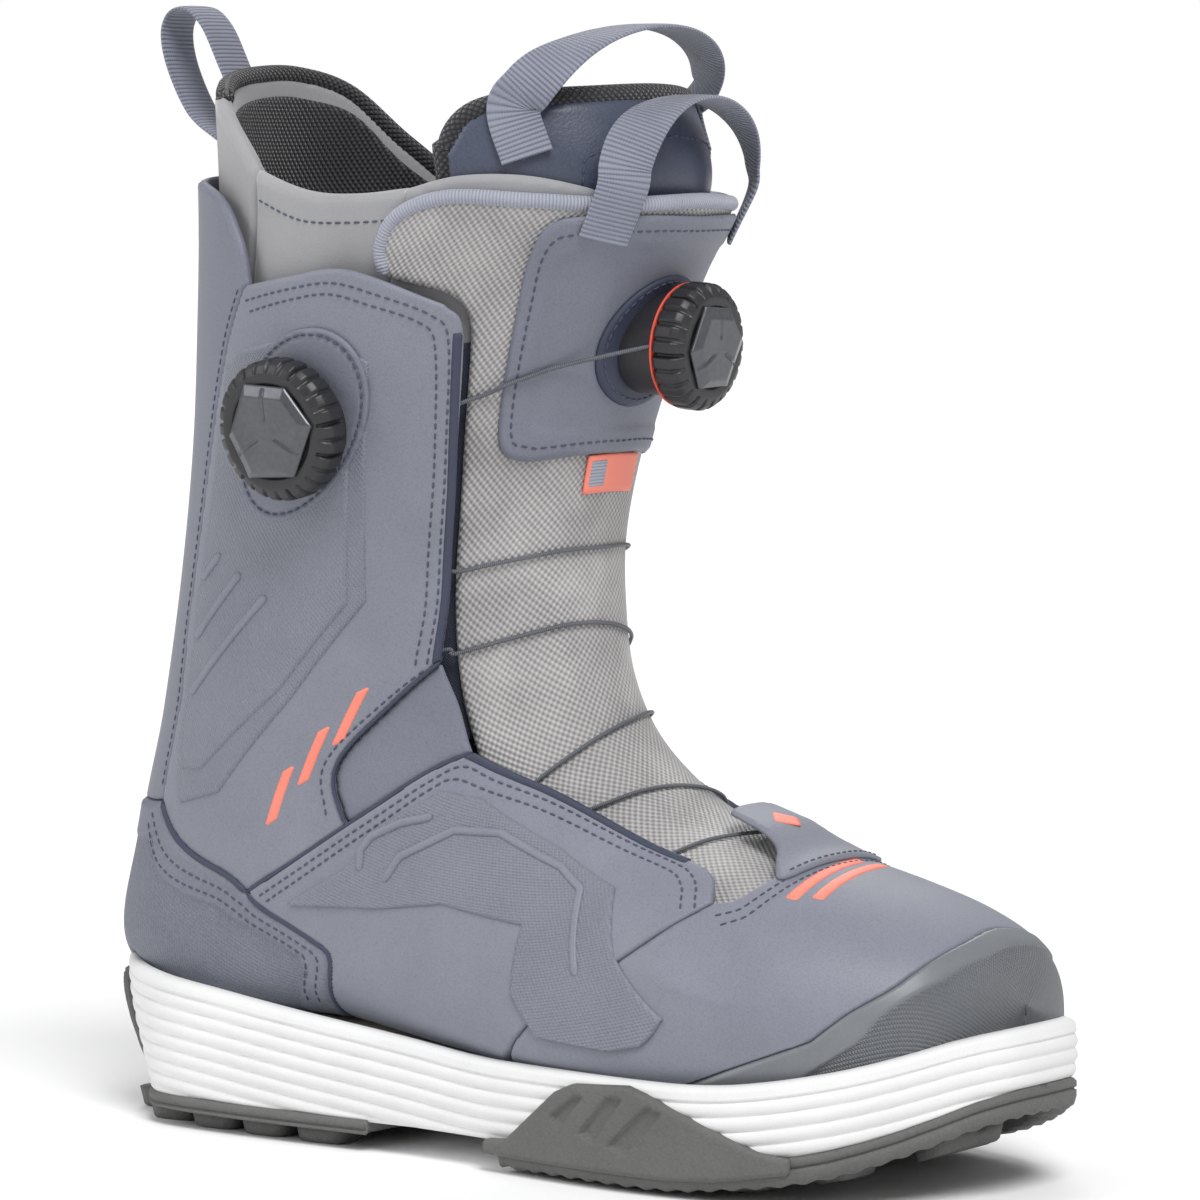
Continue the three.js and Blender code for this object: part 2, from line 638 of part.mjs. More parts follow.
// ---------------------------------------------------------------- shell seams, outer side
const FEATHER = 0.82;
const HEEL_SEAM = [[11.12, 0.72], [10.74, 0.69], [10.06, 0.625], [9.69, 0.613]];
const HEEL_FRONT = [[9.69, 0.613], [9.45, 0.617], [8.74, 0.617], [8.43, 0.64], [8.13, 0.75], [8.0, FEATHER]];
const BACK_SEAM = [[11.12, 0.72], [11.9, 0.71], [12.7, 0.715], [14.0, 0.69], [14.76, 0.66], [15.25, 0.63]];
const CUFF_TOP = [[15.25, 0.63], [15.3, 0.55], [15.33, 0.49], [15.2, 0.43], [14.9, 0.34]];
const CUFF_FRONT = [[14.9, 0.34], [14.6, 0.31], [13.4, 0.293], [12.5, 0.285], [11.7, 0.285], [10.98, 0.3]];
const NOTCH = [[10.98, 0.3], [10.74, 0.365], [10.4, 0.44], [9.83, 0.455], [9.66, 0.457]];
const QUARTER_REAR = [[9.66, 0.457], [9.66, 0.53], [9.69, 0.613]];
const QUARTER_MIDDLE = [[9.62, 0.292], [9.69, 0.35], [9.66, 0.42], [9.66, 0.457]];
const INSERT_FRONT = [[10.98, 0.3], [10.3, 0.288], [9.62, 0.292]];
const QUARTER_FRONT = [[5.4, 0.245], [5.7, 0.2], [6.2, 0.188], [7.4, 0.203], [8.4, 0.23], [9.2, 0.27], [9.62, 0.292]];
const VAMP_SEAM = [[6.4, FEATHER], [6.4, 0.7], [6.3, 0.55], [5.9, 0.4], [5.4, 0.245]];
const THROAT = [[5.4, 0.245], [5.15, 0.2], [5.08, 0]];
const TOE_SEAM = [[2.0, 0], [1.95, 0.15], [2.4, 0.33], [3.1, 0.44], [3.8, 0.54], [4.6, 0.66], [5.2, 0.76], [5.4, FEATHER]];

const back = (line) => [...line].reverse();
const mirror = (line) => line.map(([t, s]) => [t, -s]);
const around = (line) => line.map(([t, s]) => [t, 2 - s]);
const shell = (outline) => panel(outline, 0, -SHELL_THICKNESS);

const SIDES = [['lateral', (line) => line], ['medial', mirror]];

function addShell() {
  addPiece('toe_cap', shell([[0, -FEATHER], ...back(mirror(TOE_SEAM)), ...TOE_SEAM.slice(1), [0, FEATHER]]), SHELL_GREY);
  const vampHalf = [...TOE_SEAM, ...VAMP_SEAM, ...THROAT.slice(1)];
  addPiece('vamp', shell([...vampHalf, ...back(mirror(vampHalf)).slice(1, -1)]), SHELL_BLUE);
  SIDES.forEach(([side, turned]) => {
    const quarter = [...VAMP_SEAM, ...QUARTER_FRONT.slice(1), ...QUARTER_MIDDLE.slice(1), ...QUARTER_REAR.slice(1), ...HEEL_FRONT.slice(1)];
    addPiece(`quarter_${side}`, shell(turned(quarter)), SHELL_BLUE);
    const insert = [...INSERT_FRONT, ...QUARTER_MIDDLE.slice(1), ...back(NOTCH).slice(1, -1)];
    addPiece(`ankle_insert_${side}`, shell(turned(insert)), SHELL_BLUE);
    const cuff = [...CUFF_FRONT, ...NOTCH.slice(1), ...QUARTER_REAR.slice(1), ...back(HEEL_SEAM).slice(1), ...BACK_SEAM.slice(1), ...CUFF_TOP.slice(1, -1)];
    const cuffPanel = shell(turned(cuff));
    addPiece(`cuff_${side}`, side === 'lateral' ? cutFrom(cuffPanel, ...dropHoles()) : cuffPanel, SHELL_BLUE);
  });
  const heelHalf = [...back(HEEL_FRONT), ...back(HEEL_SEAM).slice(1), [11.35, 0.85], [11.45, 1]];
  const heelBottom = [[10, 1], [10, FEATHER]];
  addPiece('heel_counter', shell([...heelHalf, ...back(around(heelHalf)).slice(1), ...around(back(heelBottom)).slice(0, 1), ...heelBottom.slice(1)]), SHELL_GREY);
  const collar = [[15.7, 0.66], [16.1, 0.72], [16.25, 0.85], [16.3, 1]];
  const backHalf = [[11.45, 1], [11.35, 0.85], ...BACK_SEAM, ...collar];
  addPiece('backstay', shell([...backHalf, ...back(around(backHalf)).slice(1, -1)]), SHELL_GREY);
  const board = [[0.5, FEATHER], [10, FEATHER], [10, 2 - FEATHER], [0.5, 2 - FEATHER]];
  addPiece('lasting_board', shell(board), BOARD_TAN);
}

// ---------------------------------------------------------------- shell tongue
const tongueDepth = (t, s) => {
  const side = Math.min(1, Math.max(0, (Math.abs(s) - 0.12) / 0.06));
  return -(TONGUE_DEPTH + (TONGUE_EDGE_DEPTH - TONGUE_DEPTH) * side);
};
const below = (depth, amount) => (t, s) => depthOf(depth, t, s) - amount;
const above = (depth, amount) => (t, s) => depthOf(depth, t, s) + amount;
const onTongue = (outline, lift, thickness) => panel(outline, above(tongueDepth, lift + thickness), above(tongueDepth, lift));
const bothSides = (half) => [...half, ...back(mirror(half)).filter(([, s]) => s !== 0)];

const TONGUE_HINGE_T = 9.75;
const TONGUE_SIDE = 0.258;
const WING_TOP = [[15.55, 0.42], [15.8, 0.415], [15.95, 0.38], [15.85, 0.27], [15.75, 0.15], [15.8, 0]];
const WING_RIM = [[15.55, 0.42], [15.8, 0.415], [15.95, 0.38], [15.85, 0.27], [15.75, 0.15], [15.8, 0]]
  .map(([t, s]) => [t + 0.26, s]);
const SHIELD_HALF = [[13.0, 0], [13.06, 0.12], [13.3, 0.215], [13.5, 0.235], [14.8, 0.24], [15.6, 0.24], [15.62, 0]];

function addTongue() {
  const lower = [[4.75, 0], [4.75, 0.17], [6, 0.24], [7.5, 0.26], [9, 0.3], [9.7, 0.3], [9.7, 0]];
  addPiece('tongue_lower', panel(bothSides(lower), tongueDepth, below(tongueDepth, TONGUE_THICKNESS)), TONGUE_SILVER);
  const upper = [[TONGUE_HINGE_T, 0], [TONGUE_HINGE_T, 0.235], [10.5, TONGUE_SIDE], [14.9, TONGUE_SIDE], [15.35, 0.3], [15.55, 0.35], ...WING_TOP];
  addPiece('tongue_upper', panel(bothSides(upper), tongueDepth, below(tongueDepth, TONGUE_THICKNESS)), TONGUE_SILVER);
  const strip = [...mirror(WING_TOP), ...back(WING_TOP).slice(1), ...WING_RIM, ...back(mirror(WING_RIM)).slice(1)];
  addPiece('tongue_binding', panel(strip, above(tongueDepth, 0.3), below(tongueDepth, TONGUE_THICKNESS + 0.3)), WEBBING_GREY);
  addPiece('tongue_shield', onTongue(bothSides(SHIELD_HALF), SEAT_GAP, OVERLAY_THICKNESS), SHELL_BLUE);
  addPiece('tongue_label', onTongue([[12.45, -0.09], [12.45, 0.08], [12.9, 0.08], [12.9, -0.09]], SEAT_GAP, 1.0), CORAL);
  SIDES.forEach(([side, turned]) => {
    const gusset = [[9.9, 0.2], [14.5, 0.2], [14.5, 0.36], [9.9, 0.36]];
    addPiece(`gusset_${side}`, panel(turned(gusset), -(LINER_FRONT_DEPTH - 0.4), -(LINER_FRONT_DEPTH - 0.4) + 0.5), LINER_NAVY);
  });
}

// ---------------------------------------------------------------- trims on the shell
function addTrims() {
  const tab = [[4.7, 0], [4.7, 0.12], [5.3, 0.13], [6.2, 0.1], [6.4, 0.07], [6.4, 0]];
  addPiece('lace_tab', panel(bothSides(tab), SEAT_GAP + OVERLAY_THICKNESS, SEAT_GAP), SHELL_BLUE);
  SIDES.forEach(([side, turned]) => {
    const cuffStrip = [[11.2, 0.3], [12.5, 0.3], [13.4, 0.305], [14.4, 0.32], [14.4, 0.36], [13.4, 0.345], [12.5, 0.34], [11.2, 0.34]];
    addPiece(`cuff_webbing_${side}`, panel(turned(cuffStrip), SEAT_GAP + 1.0, SEAT_GAP), WEBBING_GREY);
    const quarterStrip = [[6.4, 0.2], [7.4, 0.213], [8.4, 0.24], [9.1, 0.275], [9.1, 0.315], [8.4, 0.285], [7.4, 0.255], [6.4, 0.24]];
    addPiece(`quarter_webbing_${side}`, panel(turned(quarterStrip), SEAT_GAP + 1.0, SEAT_GAP), WEBBING_GREY);
  });
}

// ---------------------------------------------------------------- liner (inner boot)
const linerDepth = (t, s) => {
  const front = Math.abs(s) < 0.5 && t > 4.5;
  return front ? -LINER_FRONT_DEPTH : -LINER_DEPTH;
};
const liner = (outline) => panel(outline, linerDepth, below(linerDepth, LINER_THICKNESS));
const linerTongueDepth = -LINER_TONGUE_DEPTH;

function addLiner() {
  addPiece('liner_toe', liner([[0, -FEATHER], [5, -FEATHER], [5, FEATHER], [0, FEATHER]]), LINER_MESH);
  addPiece('liner_sole', liner([[0.5, FEATHER], [10, FEATHER], [10, 2 - FEATHER], [0.5, 2 - FEATHER]]), LINER_MESH);
  addPiece('liner_instep', liner([[5, -0.42], [5, 0.42], [9.5, 0.42], [9.5, -0.42]]), LINER_MESH);
  SIDES.forEach(([side, turned]) => {
    const quarter = [[5, 0.42], [5, FEATHER], [10, FEATHER], [10, 0.66], [12.5, 0.66], [12.5, 0.42]];
    addPiece(`liner_quarter_${side}`, liner(turned(quarter)), LINER_MESH);
    const cuff = [[12.5, 0.42], [12.5, 0.66], [16.3, 0.66], [16.0, 0.54], [16.05, 0.42]];
    addPiece(`liner_cuff_${side}`, liner(turned(cuff)), LINER_SUEDE);
  });
  addPiece('liner_heel', liner([[10, 0.66], [12.5, 0.66], [12.5, 1.34], [10, 1.34]]), LINER_MESH);
  const spine = [[12.5, 0.66], [16.3, 0.66], [16.8, 0.73], [17.1, 0.82], [17.2, 1], [17.1, 1.18], [16.8, 1.27], [16.3, 1.34], [12.5, 1.34]];
  addPiece('liner_spine', liner(spine), LINER_SUEDE);
  const flap = [[13.5, 0.16], [13.5, 0.42], [16.05, 0.42], [16.15, 0.3], [15.95, 0.16]];
  addPiece('liner_wrap_flap', panel(flap, -LINER_FRONT_DEPTH, -LINER_FRONT_DEPTH - FLAP_THICKNESS), LINER_SUEDE);
  const tongue = [[9.9, 0], [9.9, 0.3], [11, 0.38], [16, 0.38], [16.6, 0.36], [16.85, 0.28], [16.95, 0]];
  addPiece('liner_tongue', panel(bothSides(tongue), linerTongueDepth, linerTongueDepth - LINER_TONGUE_THICKNESS), LINER_NAVY);
  const footbed = [[1, FEATHER], [9.5, FEATHER], [9.5, 2 - FEATHER], [1, 2 - FEATHER]];
  const footbedTop = -(LINER_DEPTH + LINER_THICKNESS + SEAT_GAP + 0.2);
  addPiece('footbed', panel(footbed, footbedTop, footbedTop - FOOTBED_THICKNESS), CORAL);
}

// ---------------------------------------------------------------- pull loops
// A strap along a line of points; acrossAt gives the direction of its width at each point.
function strap(points, acrossAt, width, thickness) {
  const rings = points.map((p, i) => {
    const before = points[Math.max(i - 1, 0)];
    const after = points[Math.min(i + 1, points.length - 1)];
    const along = after.clone().sub(before).normalize();
    const across = acrossAt(i / (points.length - 1));
    const wide = across.addScaledVector(along, -across.dot(along)).normalize();
    const flat = along.clone().cross(wide).normalize();
    return [[-1, -1], [1, -1], [1, 1], [-1, 1]].map(([u, v]) => (
      p.clone().addScaledVector(wide, (u * width) / 2).addScaledVector(flat, (v * thickness) / 2)
    ));
  });
  const triangles = [[0, 1, 2], [0, 2, 3]];
  for (let i = 0; i < rings.length - 1; i += 1) {
    for (let j = 0; j < 4; j += 1) {
      const [a, b] = [i * 4 + j, i * 4 + ((j + 1) % 4)];
      triangles.push([a, a + 4, b + 4], [a, b + 4, b]);
    }
  }
  const e = (rings.length - 1) * 4;
  triangles.push([e, e + 2, e + 1], [e, e + 3, e + 2]);
  return solid(rings.flat(), triangles);
}

function smoothLine(points, count) {
  const curve = new THREE.CatmullRomCurve3(points.map((p) => new THREE.Vector3(...p)), false, 'centripetal');
  return curve.getSpacedPoints(count);
}

// A hoop from one side of a tongue to the other: its feet lie on the face, its arch stands free.
function hoop({ t, s, legs, topT, forward, rise, width }, lift) {
  const foot = surfacePoint(t, s, lift);
  const up = surfacePoint(t + 0.4, s, lift).sub(foot).normalize();
  const tangent = surfacePoint(t, s - 0.03, lift).sub(surfacePoint(t, s + 0.03, lift)).normalize();
  const neck = foot.clone().addScaledVector(up, legs);
  const apex = surfacePoint(topT, 0, lift).add(new THREE.Vector3(forward, 0, rise));
  const line = [[foot.x, foot.y, foot.z]];
  for (let k = 0; k <= 12; k += 1) {
    const angle = (k / 12) * Math.PI;
    const high = Math.sin(angle) ** 0.9;
    line.push([neck.x + (apex.x - neck.x) * high, neck.y * Math.cos(angle), neck.z + (apex.z - neck.z) * high]);
  }
  line.push([foot.x, -foot.y, foot.z]);
  const acrossAt = (f) => {
    const side = Math.cos(f * Math.PI);
    const across = new THREE.Vector3(1 - Math.abs(side), 0, 0);
    return across.addScaledVector(new THREE.Vector3(tangent.x, tangent.y * Math.sign(side), tangent.z), Math.abs(side));
  };
  return strap(smoothLine(line, 26), acrossAt, width, WEBBING_THICKNESS);
}

// The rear loop's foot is held between the backstay and the liner; it bows out behind the heel.
function makeRearLoop() {
  const inward = SHELL_THICKNESS + 1.45 + WEBBING_THICKNESS / 2;
  const seat = formPoint(16, 1, -inward);
  const at = (x, z) => [seat.x + x * GRADE_X, 0, seat.z + z * GRADE_Z];
  const line = [at(0, -3), at(0, 6), at(0, 12), at(-2.5, 16), at(-9, 19.5), at(-18, 26), at(-25, 38), at(-27.5, 48), at(-25, 54), at(-19, 55),
    at(-13, 50), at(-7.5, 40), at(-3, 31), at(-0.5, 24), at(-0.2, 20)];
  return strap(smoothLine(line, 30), () => new THREE.Vector3(0, 1, 0), WEBBING_WIDTH, WEBBING_THICKNESS);
}

const LINER_LOOP = { t: 16.3, s: 0.27, legs: 13, topT: 16.95, forward: -4, rise: 18, width: WEBBING_WIDTH };
const SHELL_LOOP = { t: 15.2, s: 0.165, legs: 21, topT: 15.8, forward: -6, rise: 27, width: WEBBING_WIDTH };

function addLoops() {
  const onLiner = -LINER_TONGUE_DEPTH + SEAT_GAP + WEBBING_THICKNESS / 2;
  const onShield = above(tongueDepth, OVERLAY_THICKNESS + 2 * SEAT_GAP + WEBBING_THICKNESS / 2 + 0.2);
  addPiece('rear_loop', makeRearLoop(), WEBBING_GREY);
  addPiece('liner_tongue_loop', hoop(LINER_LOOP, onLiner + 0.3), WEBBING_GREY);
  addPiece('shell_tongue_loop', hoop(SHELL_LOOP, onShield), WEBBING_GREY);
}

// ---------------------------------------------------------------- lace dials
const lathe = (profile, segments = SEGMENTS) => {
  const closed = [...profile, profile[0]].map(([r, h]) => new THREE.Vector2(r, h));
  return new THREE.LatheGeometry(closed, segments).rotateX(Math.PI / 2);
};
const rod = (radius, from, to, segments = 16) => lathe([[0, from], [radius, from], [radius, to], [0, to]], segments);

// A disc with grip teeth around it.
function toothed(radius, tip, teeth, from, to) {
  const points = [];
  for (let k = 0; k < teeth; k += 1) {
    [[0, radius], [0.25, tip], [0.7, tip]].forEach(([f, r]) => {
      const angle = ((k + f) / teeth) * 2 * Math.PI;
      points.push(new THREE.Vector2(r * Math.cos(angle), r * Math.sin(angle)));
    });
  }
  const shape = new THREE.Shape(points);
  return new THREE.ExtrudeGeometry(shape, { depth: to - from, bevelEnabled: false }).translate(0, 0, from);
}

// The frame of a dial: its place on the form, lifted along its axis.
function dialFrame({ t, s, lift }, axis) {
  const origin = surfacePoint(t, s, 0).addScaledVector(axis, lift);
  const side = new THREE.Vector3(0, 0, 1).cross(axis).normalize();
  const up = axis.clone().cross(side);
  return new THREE.Matrix4().makeBasis(side, up, axis).setPosition(origin);
}
const SIDE_AXIS = surfaceNormal(SIDE_DIAL.t, SIDE_DIAL.s);
const FRONT_AXIS = new THREE.Vector3(Math.cos(FRONT_DIAL.pitch), 0, -Math.sin(FRONT_DIAL.pitch));
const SIDE_FRAME = dialFrame(SIDE_DIAL, SIDE_AXIS);
const FRONT_FRAME = dialFrame(FRONT_DIAL, FRONT_AXIS);
const HOUSING_FLOOR = 3.8;
const SPOOL_TOP = 8.2;
const LACE_LEVEL = 6.2;
const KNOB_FOOT = 4.6;
const onFrame = (frame, x, y, z) => new THREE.Vector3(x, y, z).applyMatrix4(frame);
const housingWall = (dial) => dial.radius - 3;
const drumRadius = (dial) => housingWall(dial) - WALL - LACE_ROOM;

// A straight round hole between two places in a dial's frame.
function hole(frame, from, to, radius) {
  const a = onFrame(frame, ...from);
  const b = onFrame(frame, ...to);
  const bar = rod(radius, 0, a.distanceTo(b), 10);
  const turned = new THREE.Quaternion().setFromUnitVectors(new THREE.Vector3(0, 0, 1), b.clone().sub(a).normalize());
  return bar.applyQuaternion(turned).translate(a.x, a.y, a.z);
}

// The side dial's lace drops through two holes in its floor, its flange and the cuff.
const dropAt = (way) => [way * (drumRadius(SIDE_DIAL) + LACE_ROOM / 2 + 0.2), -3];
const dropHoles = () => [-1, 1].map((way) => hole(SIDE_FRAME, [...dropAt(way), -9], [...dropAt(way), 5], LACE_DIAMETER / 2 + 0.4));

// The front dial's lace leaves sideways, through two holes that slope down under the knob.
const portFrom = (way) => [-way * (drumRadius(FRONT_DIAL) + LACE_ROOM * 0.75), 0, LACE_LEVEL - 1.1];
const portTo = (way) => [-way * (FRONT_DIAL.radius + 1), 0, 1.6];
const portHoles = () => [-1, 1].map((way) => hole(FRONT_FRAME, portFrom(way), portTo(way), LACE_DIAMETER / 2 + 0.4));

function ringOutline({ t, s }, rows, columns, count = 16) {
  const points = [];
  for (let k = 0; k < count; k += 1) {
    const angle = (k / count) * 2 * Math.PI;
    points.push([t + rows * Math.cos(angle), s + columns * Math.sin(angle)]);
  }
  return points;
}

function makeHousing(dial, frame, cutters) {
  const wall = housingWall(dial);
  const foot = -9 - dial.lift;
  const rim = SPOOL_TOP + 0.6;
  const profile = [[2.6, foot], [wall, foot], [wall, rim], [wall - WALL, rim], [wall - WALL, HOUSING_FLOOR], [2.6, HOUSING_FLOOR]];
  return cutFrom(lathe(profile).applyMatrix4(frame), ...cutters);
}

function makeSpool(dial) {
  const drum = drumRadius(dial);
  const bore = AXLE_RADIUS + DIAL_RUN;
  const foot = HOUSING_FLOOR + DIAL_RUN;
  const groove = drum - 3.4;
  return lathe([[bore, foot], [drum, foot], [drum, 4.9], [groove, 5.4], [groove, 7.0], [drum, 7.4], [drum, SPOOL_TOP], [bore, SPOOL_TOP]], 24);
}

function makeCore() {
  const r = AXLE_RADIUS;
  return lathe([[0, HOUSING_FLOOR + DIAL_RUN], [r, HOUSING_FLOOR + DIAL_RUN], [r, 8.6], [5.5, 8.6], [5.5, 9.6], [r, 9.6], [r, 12.4], [0, 12.4]], 18);
}

function makeKnob(dial) {
  const { radius, teeth } = dial;
  const bore = AXLE_RADIUS + DIAL_RUN;
  const body = toothed(radius - 0.7, radius, teeth, KNOB_FOOT, 12.4);
  const hollow = rod(housingWall(dial) + DIAL_RUN + 0.1, 0, 10.0, SEGMENTS);
  const top = lathe([[radius - 2.2, 12.4], [radius - 3.4, 13.4], [bore, 13.4], [bore, 12.2], [radius - 2.2, 12.2]], SEGMENTS);
  return joined(cutFrom(body, hollow, rod(bore, 9, 13, 18)), top);
}

function makePawlRing(dial) {
  const tip = housingWall(dial) - WALL - DIAL_RUN;
  return cutFrom(toothed(tip - 1, tip, 12, SPOOL_TOP + 0.3, SPOOL_TOP + 1.2), rod(6, 0, 20, 18));
}

const BADGE = [[1, 0.1], [0.62, 0.82], [-0.3, 0.95], [-0.98, 0.3], [-0.72, -0.72], [0.25, -0.98], [0.85, -0.55]];

function makeBadge(dial) {
  const size = dial.radius - 6.5;
  const shape = new THREE.Shape(BADGE.map(([x, y]) => new THREE.Vector2(x * size, y * size)));
  const bevel = { bevelEnabled: true, bevelSize: 0.8, bevelThickness: 0.6, bevelSegments: 1 };
  return new THREE.ExtrudeGeometry(shape, { depth: 0.8, ...bevel }).translate(0, 0, 13.4 + SEAT_GAP + 0.6);
}

function addDial(name, dial, frame, flange, housing) {
  addPiece(`${name}_flange`, flange, SHELL_GREY);
  addPiece(`${name}_housing`, housing, DIAL_BLACK);
  addPiece(`${name}_spool`, makeSpool(dial).applyMatrix4(frame), DIAL_BLACK);
  addPiece(`${name}_core`, makeCore().applyMatrix4(frame), DIAL_STEEL);
  addPiece(`${name}_knob`, makeKnob(dial).applyMatrix4(frame), DIAL_BLACK);
  addPiece(`${name}_pawl_ring`, makePawlRing(dial).applyMatrix4(frame), CORAL);
  addPiece(`${name}_badge`, makeBadge(dial).applyMatrix4(frame), DIAL_STEEL);
}

function addDials() {
  const sideFlange = panel(ringOutline(SIDE_DIAL, 1.02, 0.118), SEAT_GAP + FLANGE_THICKNESS, SEAT_GAP);
  const sideSeat = formSolid(11, 17, FLANGE_THICKNESS + 2 * SEAT_GAP);
  const sideHousing = makeHousing(SIDE_DIAL, SIDE_FRAME, [sideSeat, ...dropHoles()]);
  addDial('side_dial', SIDE_DIAL, SIDE_FRAME, cutFrom(sideFlange, ...dropHoles()), sideHousing);
  const shieldTop = SEAT_GAP + OVERLAY_THICKNESS;
  const frontFlange = onTongue(ringOutline(FRONT_DIAL, 0.78, 0.13), shieldTop + SEAT_GAP, FLANGE_THICKNESS);
  const frontSeat = formSolid(11, 17, above(tongueDepth, shieldTop + FLANGE_THICKNESS + 2 * SEAT_GAP));
  const frontHousing = makeHousing(FRONT_DIAL, FRONT_FRAME, [frontSeat, ...portHoles()]);
  addDial('front_dial', FRONT_DIAL, FRONT_FRAME, frontFlange, frontHousing);
}

// ---------------------------------------------------------------- laces
// A round cord along a line of points.
function cord(points, diameter, sides = 5) {
  const rings = [];
  let side = new THREE.Vector3(0, 0, 1);
  points.forEach((p, i) => {
    const before = points[Math.max(i - 1, 0)];
    const after = points[Math.min(i + 1, points.length - 1)];
    const along = after.clone().sub(before).normalize();
    side = side.clone().addScaledVector(along, -side.dot(along)).normalize();
    const other = along.clone().cross(side);
    for (let k = 0; k < sides; k += 1) {
      const angle = (k / sides) * 2 * Math.PI;
      rings.push(p.clone().addScaledVector(side, (Math.cos(angle) * diameter) / 2)
        .addScaledVector(other, (Math.sin(angle) * diameter) / 2));
    }
  });
  const last = (points.length - 1) * sides;
  const triangles = [];
  for (let k = 1; k < sides - 1; k += 1) {
    triangles.push([0, k + 1, k], [last, last + k, last + k + 1]);
  }
  for (let i = 0; i < points.length - 1; i += 1) {
    for (let k = 0; k < sides; k += 1) {
      const [a, b] = [i * sides + k, i * sides + ((k + 1) % sides)];
      triangles.push([a, b, b + sides], [a, b + sides, a + sides]);
    }
  }
  return solid(rings, triangles);
}

// Points of a lace laid on the form through (t, s, depth) stops, with a point wherever it
// crosses a line of the facet net.
function laidLine(stops) {
  const line = [surfacePoint(...stops[0])];
  stops.slice(1).forEach((next, i) => {
    const here = stops[i];
    const crossings = [...crossed(tToRow(here[0]), tToRow(next[0])), ...crossed(sToColumn(here[1]), sToColumn(next[1]))];
    const fractions = [...crossings, 1].sort((a, b) => a - b);
    fractions.filter((f, k) => k === fractions.length - 1 || fractions[k + 1] - f > 0.12).forEach((f) => {
      const row = tToRow(here[0]) + (tToRow(next[0]) - tToRow(here[0])) * f;
      const column = sToColumn(here[1]) + (sToColumn(next[1]) - sToColumn(here[1])) * f;
      const depth = (t, s) => depthOf(here[2], t, s) * (1 - f) + depthOf(next[2], t, s) * f;
      line.push(netPoint(row, column, depth));
    });
  });
  return line;
}

// The fractions of the way from a to b at which whole numbers are passed.
function crossed(a, b) {
  const fractions = [];
  for (let k = Math.ceil(Math.min(a, b)); k <= Math.max(a, b); k += 1) {
    const f = (k - a) / (b - a);
    if (f > 0.02 && f < 0.98) fractions.push(f);
  }
  return fractions;
}

const OVER_TONGUE = above(tongueDepth, LACE_DIAMETER / 2 + 0.55);
const OVER_SHIELD = above(tongueDepth, OVERLAY_THICKNESS + 2 * SEAT_GAP + LACE_DIAMETER / 2 + 0.3);
const UNDER_SHELL = -(SHELL_THICKNESS + LACE_DIAMETER / 2 + 0.5);

function addLaces() {
  const half = (way) => laidLine([
    [14.1, way * 0.185, OVER_SHIELD], [13.95, way * 0.24, OVER_SHIELD],
    [13.9, way * 0.262, OVER_TONGUE], [13.85, way * 0.3, UNDER_SHELL], [13.6, way * 0.34, UNDER_SHELL],
    [13.0, way * 0.345, UNDER_SHELL], [12.3, way * 0.33, UNDER_SHELL], [12.05, way * 0.3, UNDER_SHELL],
    [12.0, way * 0.262, OVER_TONGUE], [11.85, way * 0.12, OVER_TONGUE], [11.8, 0, OVER_TONGUE],
  ]);
  const groove = drumRadius(FRONT_DIAL) - 3.4 + LACE_DIAMETER / 2 + 0.3;
  const port = (way) => [
    onFrame(FRONT_FRAME, -way * groove, 0, LACE_LEVEL), onFrame(FRONT_FRAME, -way * (drumRadius(FRONT_DIAL) + 0.9), 0, LACE_LEVEL - 0.1),
    onFrame(FRONT_FRAME, ...portFrom(way)), onFrame(FRONT_FRAME, ...portTo(way)),
  ];
  const front = [...port(1), ...half(1), ...back(half(-1)).slice(1), ...back(port(-1))];
  addPiece('front_lace', cord(front, LACE_DIAMETER), LACE_DARK);
  const sideGroove = drumRadius(SIDE_DIAL) - 3.4 + LACE_DIAMETER / 2 + 0.3;
  const drop = (way) => [
    onFrame(SIDE_FRAME, way * sideGroove, -3, LACE_LEVEL), onFrame(SIDE_FRAME, dropAt(way)[0] - way * 0.4, -3, LACE_LEVEL - 0.1),
    onFrame(SIDE_FRAME, ...dropAt(way), LACE_LEVEL - 1.4), onFrame(SIDE_FRAME, ...dropAt(way), -3.2), onFrame(SIDE_FRAME, ...dropAt(way), -4.6),
  ];
  const lower = laidLine([
    [13.6, 0.45, UNDER_SHELL], [12.9, 0.42, UNDER_SHELL], [11.6, 0.36, UNDER_SHELL], [11.2, 0.32, UNDER_SHELL], [11.0, 0.27, OVER_TONGUE],
    [10.7, 0, OVER_TONGUE], [10.4, -0.27, OVER_TONGUE], [10.2, -0.31, UNDER_SHELL], [9.95, -0.345, UNDER_SHELL], [9.6, -0.32, UNDER_SHELL],
    [9.4, -0.26, OVER_TONGUE], [9.15, 0, OVER_TONGUE], [8.8, 0.23, OVER_TONGUE], [8.65, 0.275, UNDER_SHELL], [8.4, 0.3, UNDER_SHELL], [8.15, 0.27, UNDER_SHELL],
    [8.0, 0.2, OVER_TONGUE], [7.7, 0, OVER_TONGUE], [7.35, -0.185, OVER_TONGUE], [7.2, -0.235, UNDER_SHELL], [6.95, -0.25, UNDER_SHELL], [6.7, -0.225, UNDER_SHELL],
    [6.6, -0.17, OVER_TONGUE], [6.25, -0.06, OVER_TONGUE], [6.15, 0, OVER_TONGUE], [6.25, 0.06, OVER_TONGUE], [6.6, 0.17, OVER_TONGUE], [6.75, 0.225, UNDER_SHELL],
    [7.2, 0.3, UNDER_SHELL], [8.5, 0.37, UNDER_SHELL], [9.8, 0.42, UNDER_SHELL], [11.2, 0.45, UNDER_SHELL], [12.6, 0.53, UNDER_SHELL], [13.6, 0.575, UNDER_SHELL],
  ]);
  addPiece('lower_lace', cord([...drop(1), ...lower, ...back(drop(-1))], LACE_DIAMETER), LACE_DARK);
}

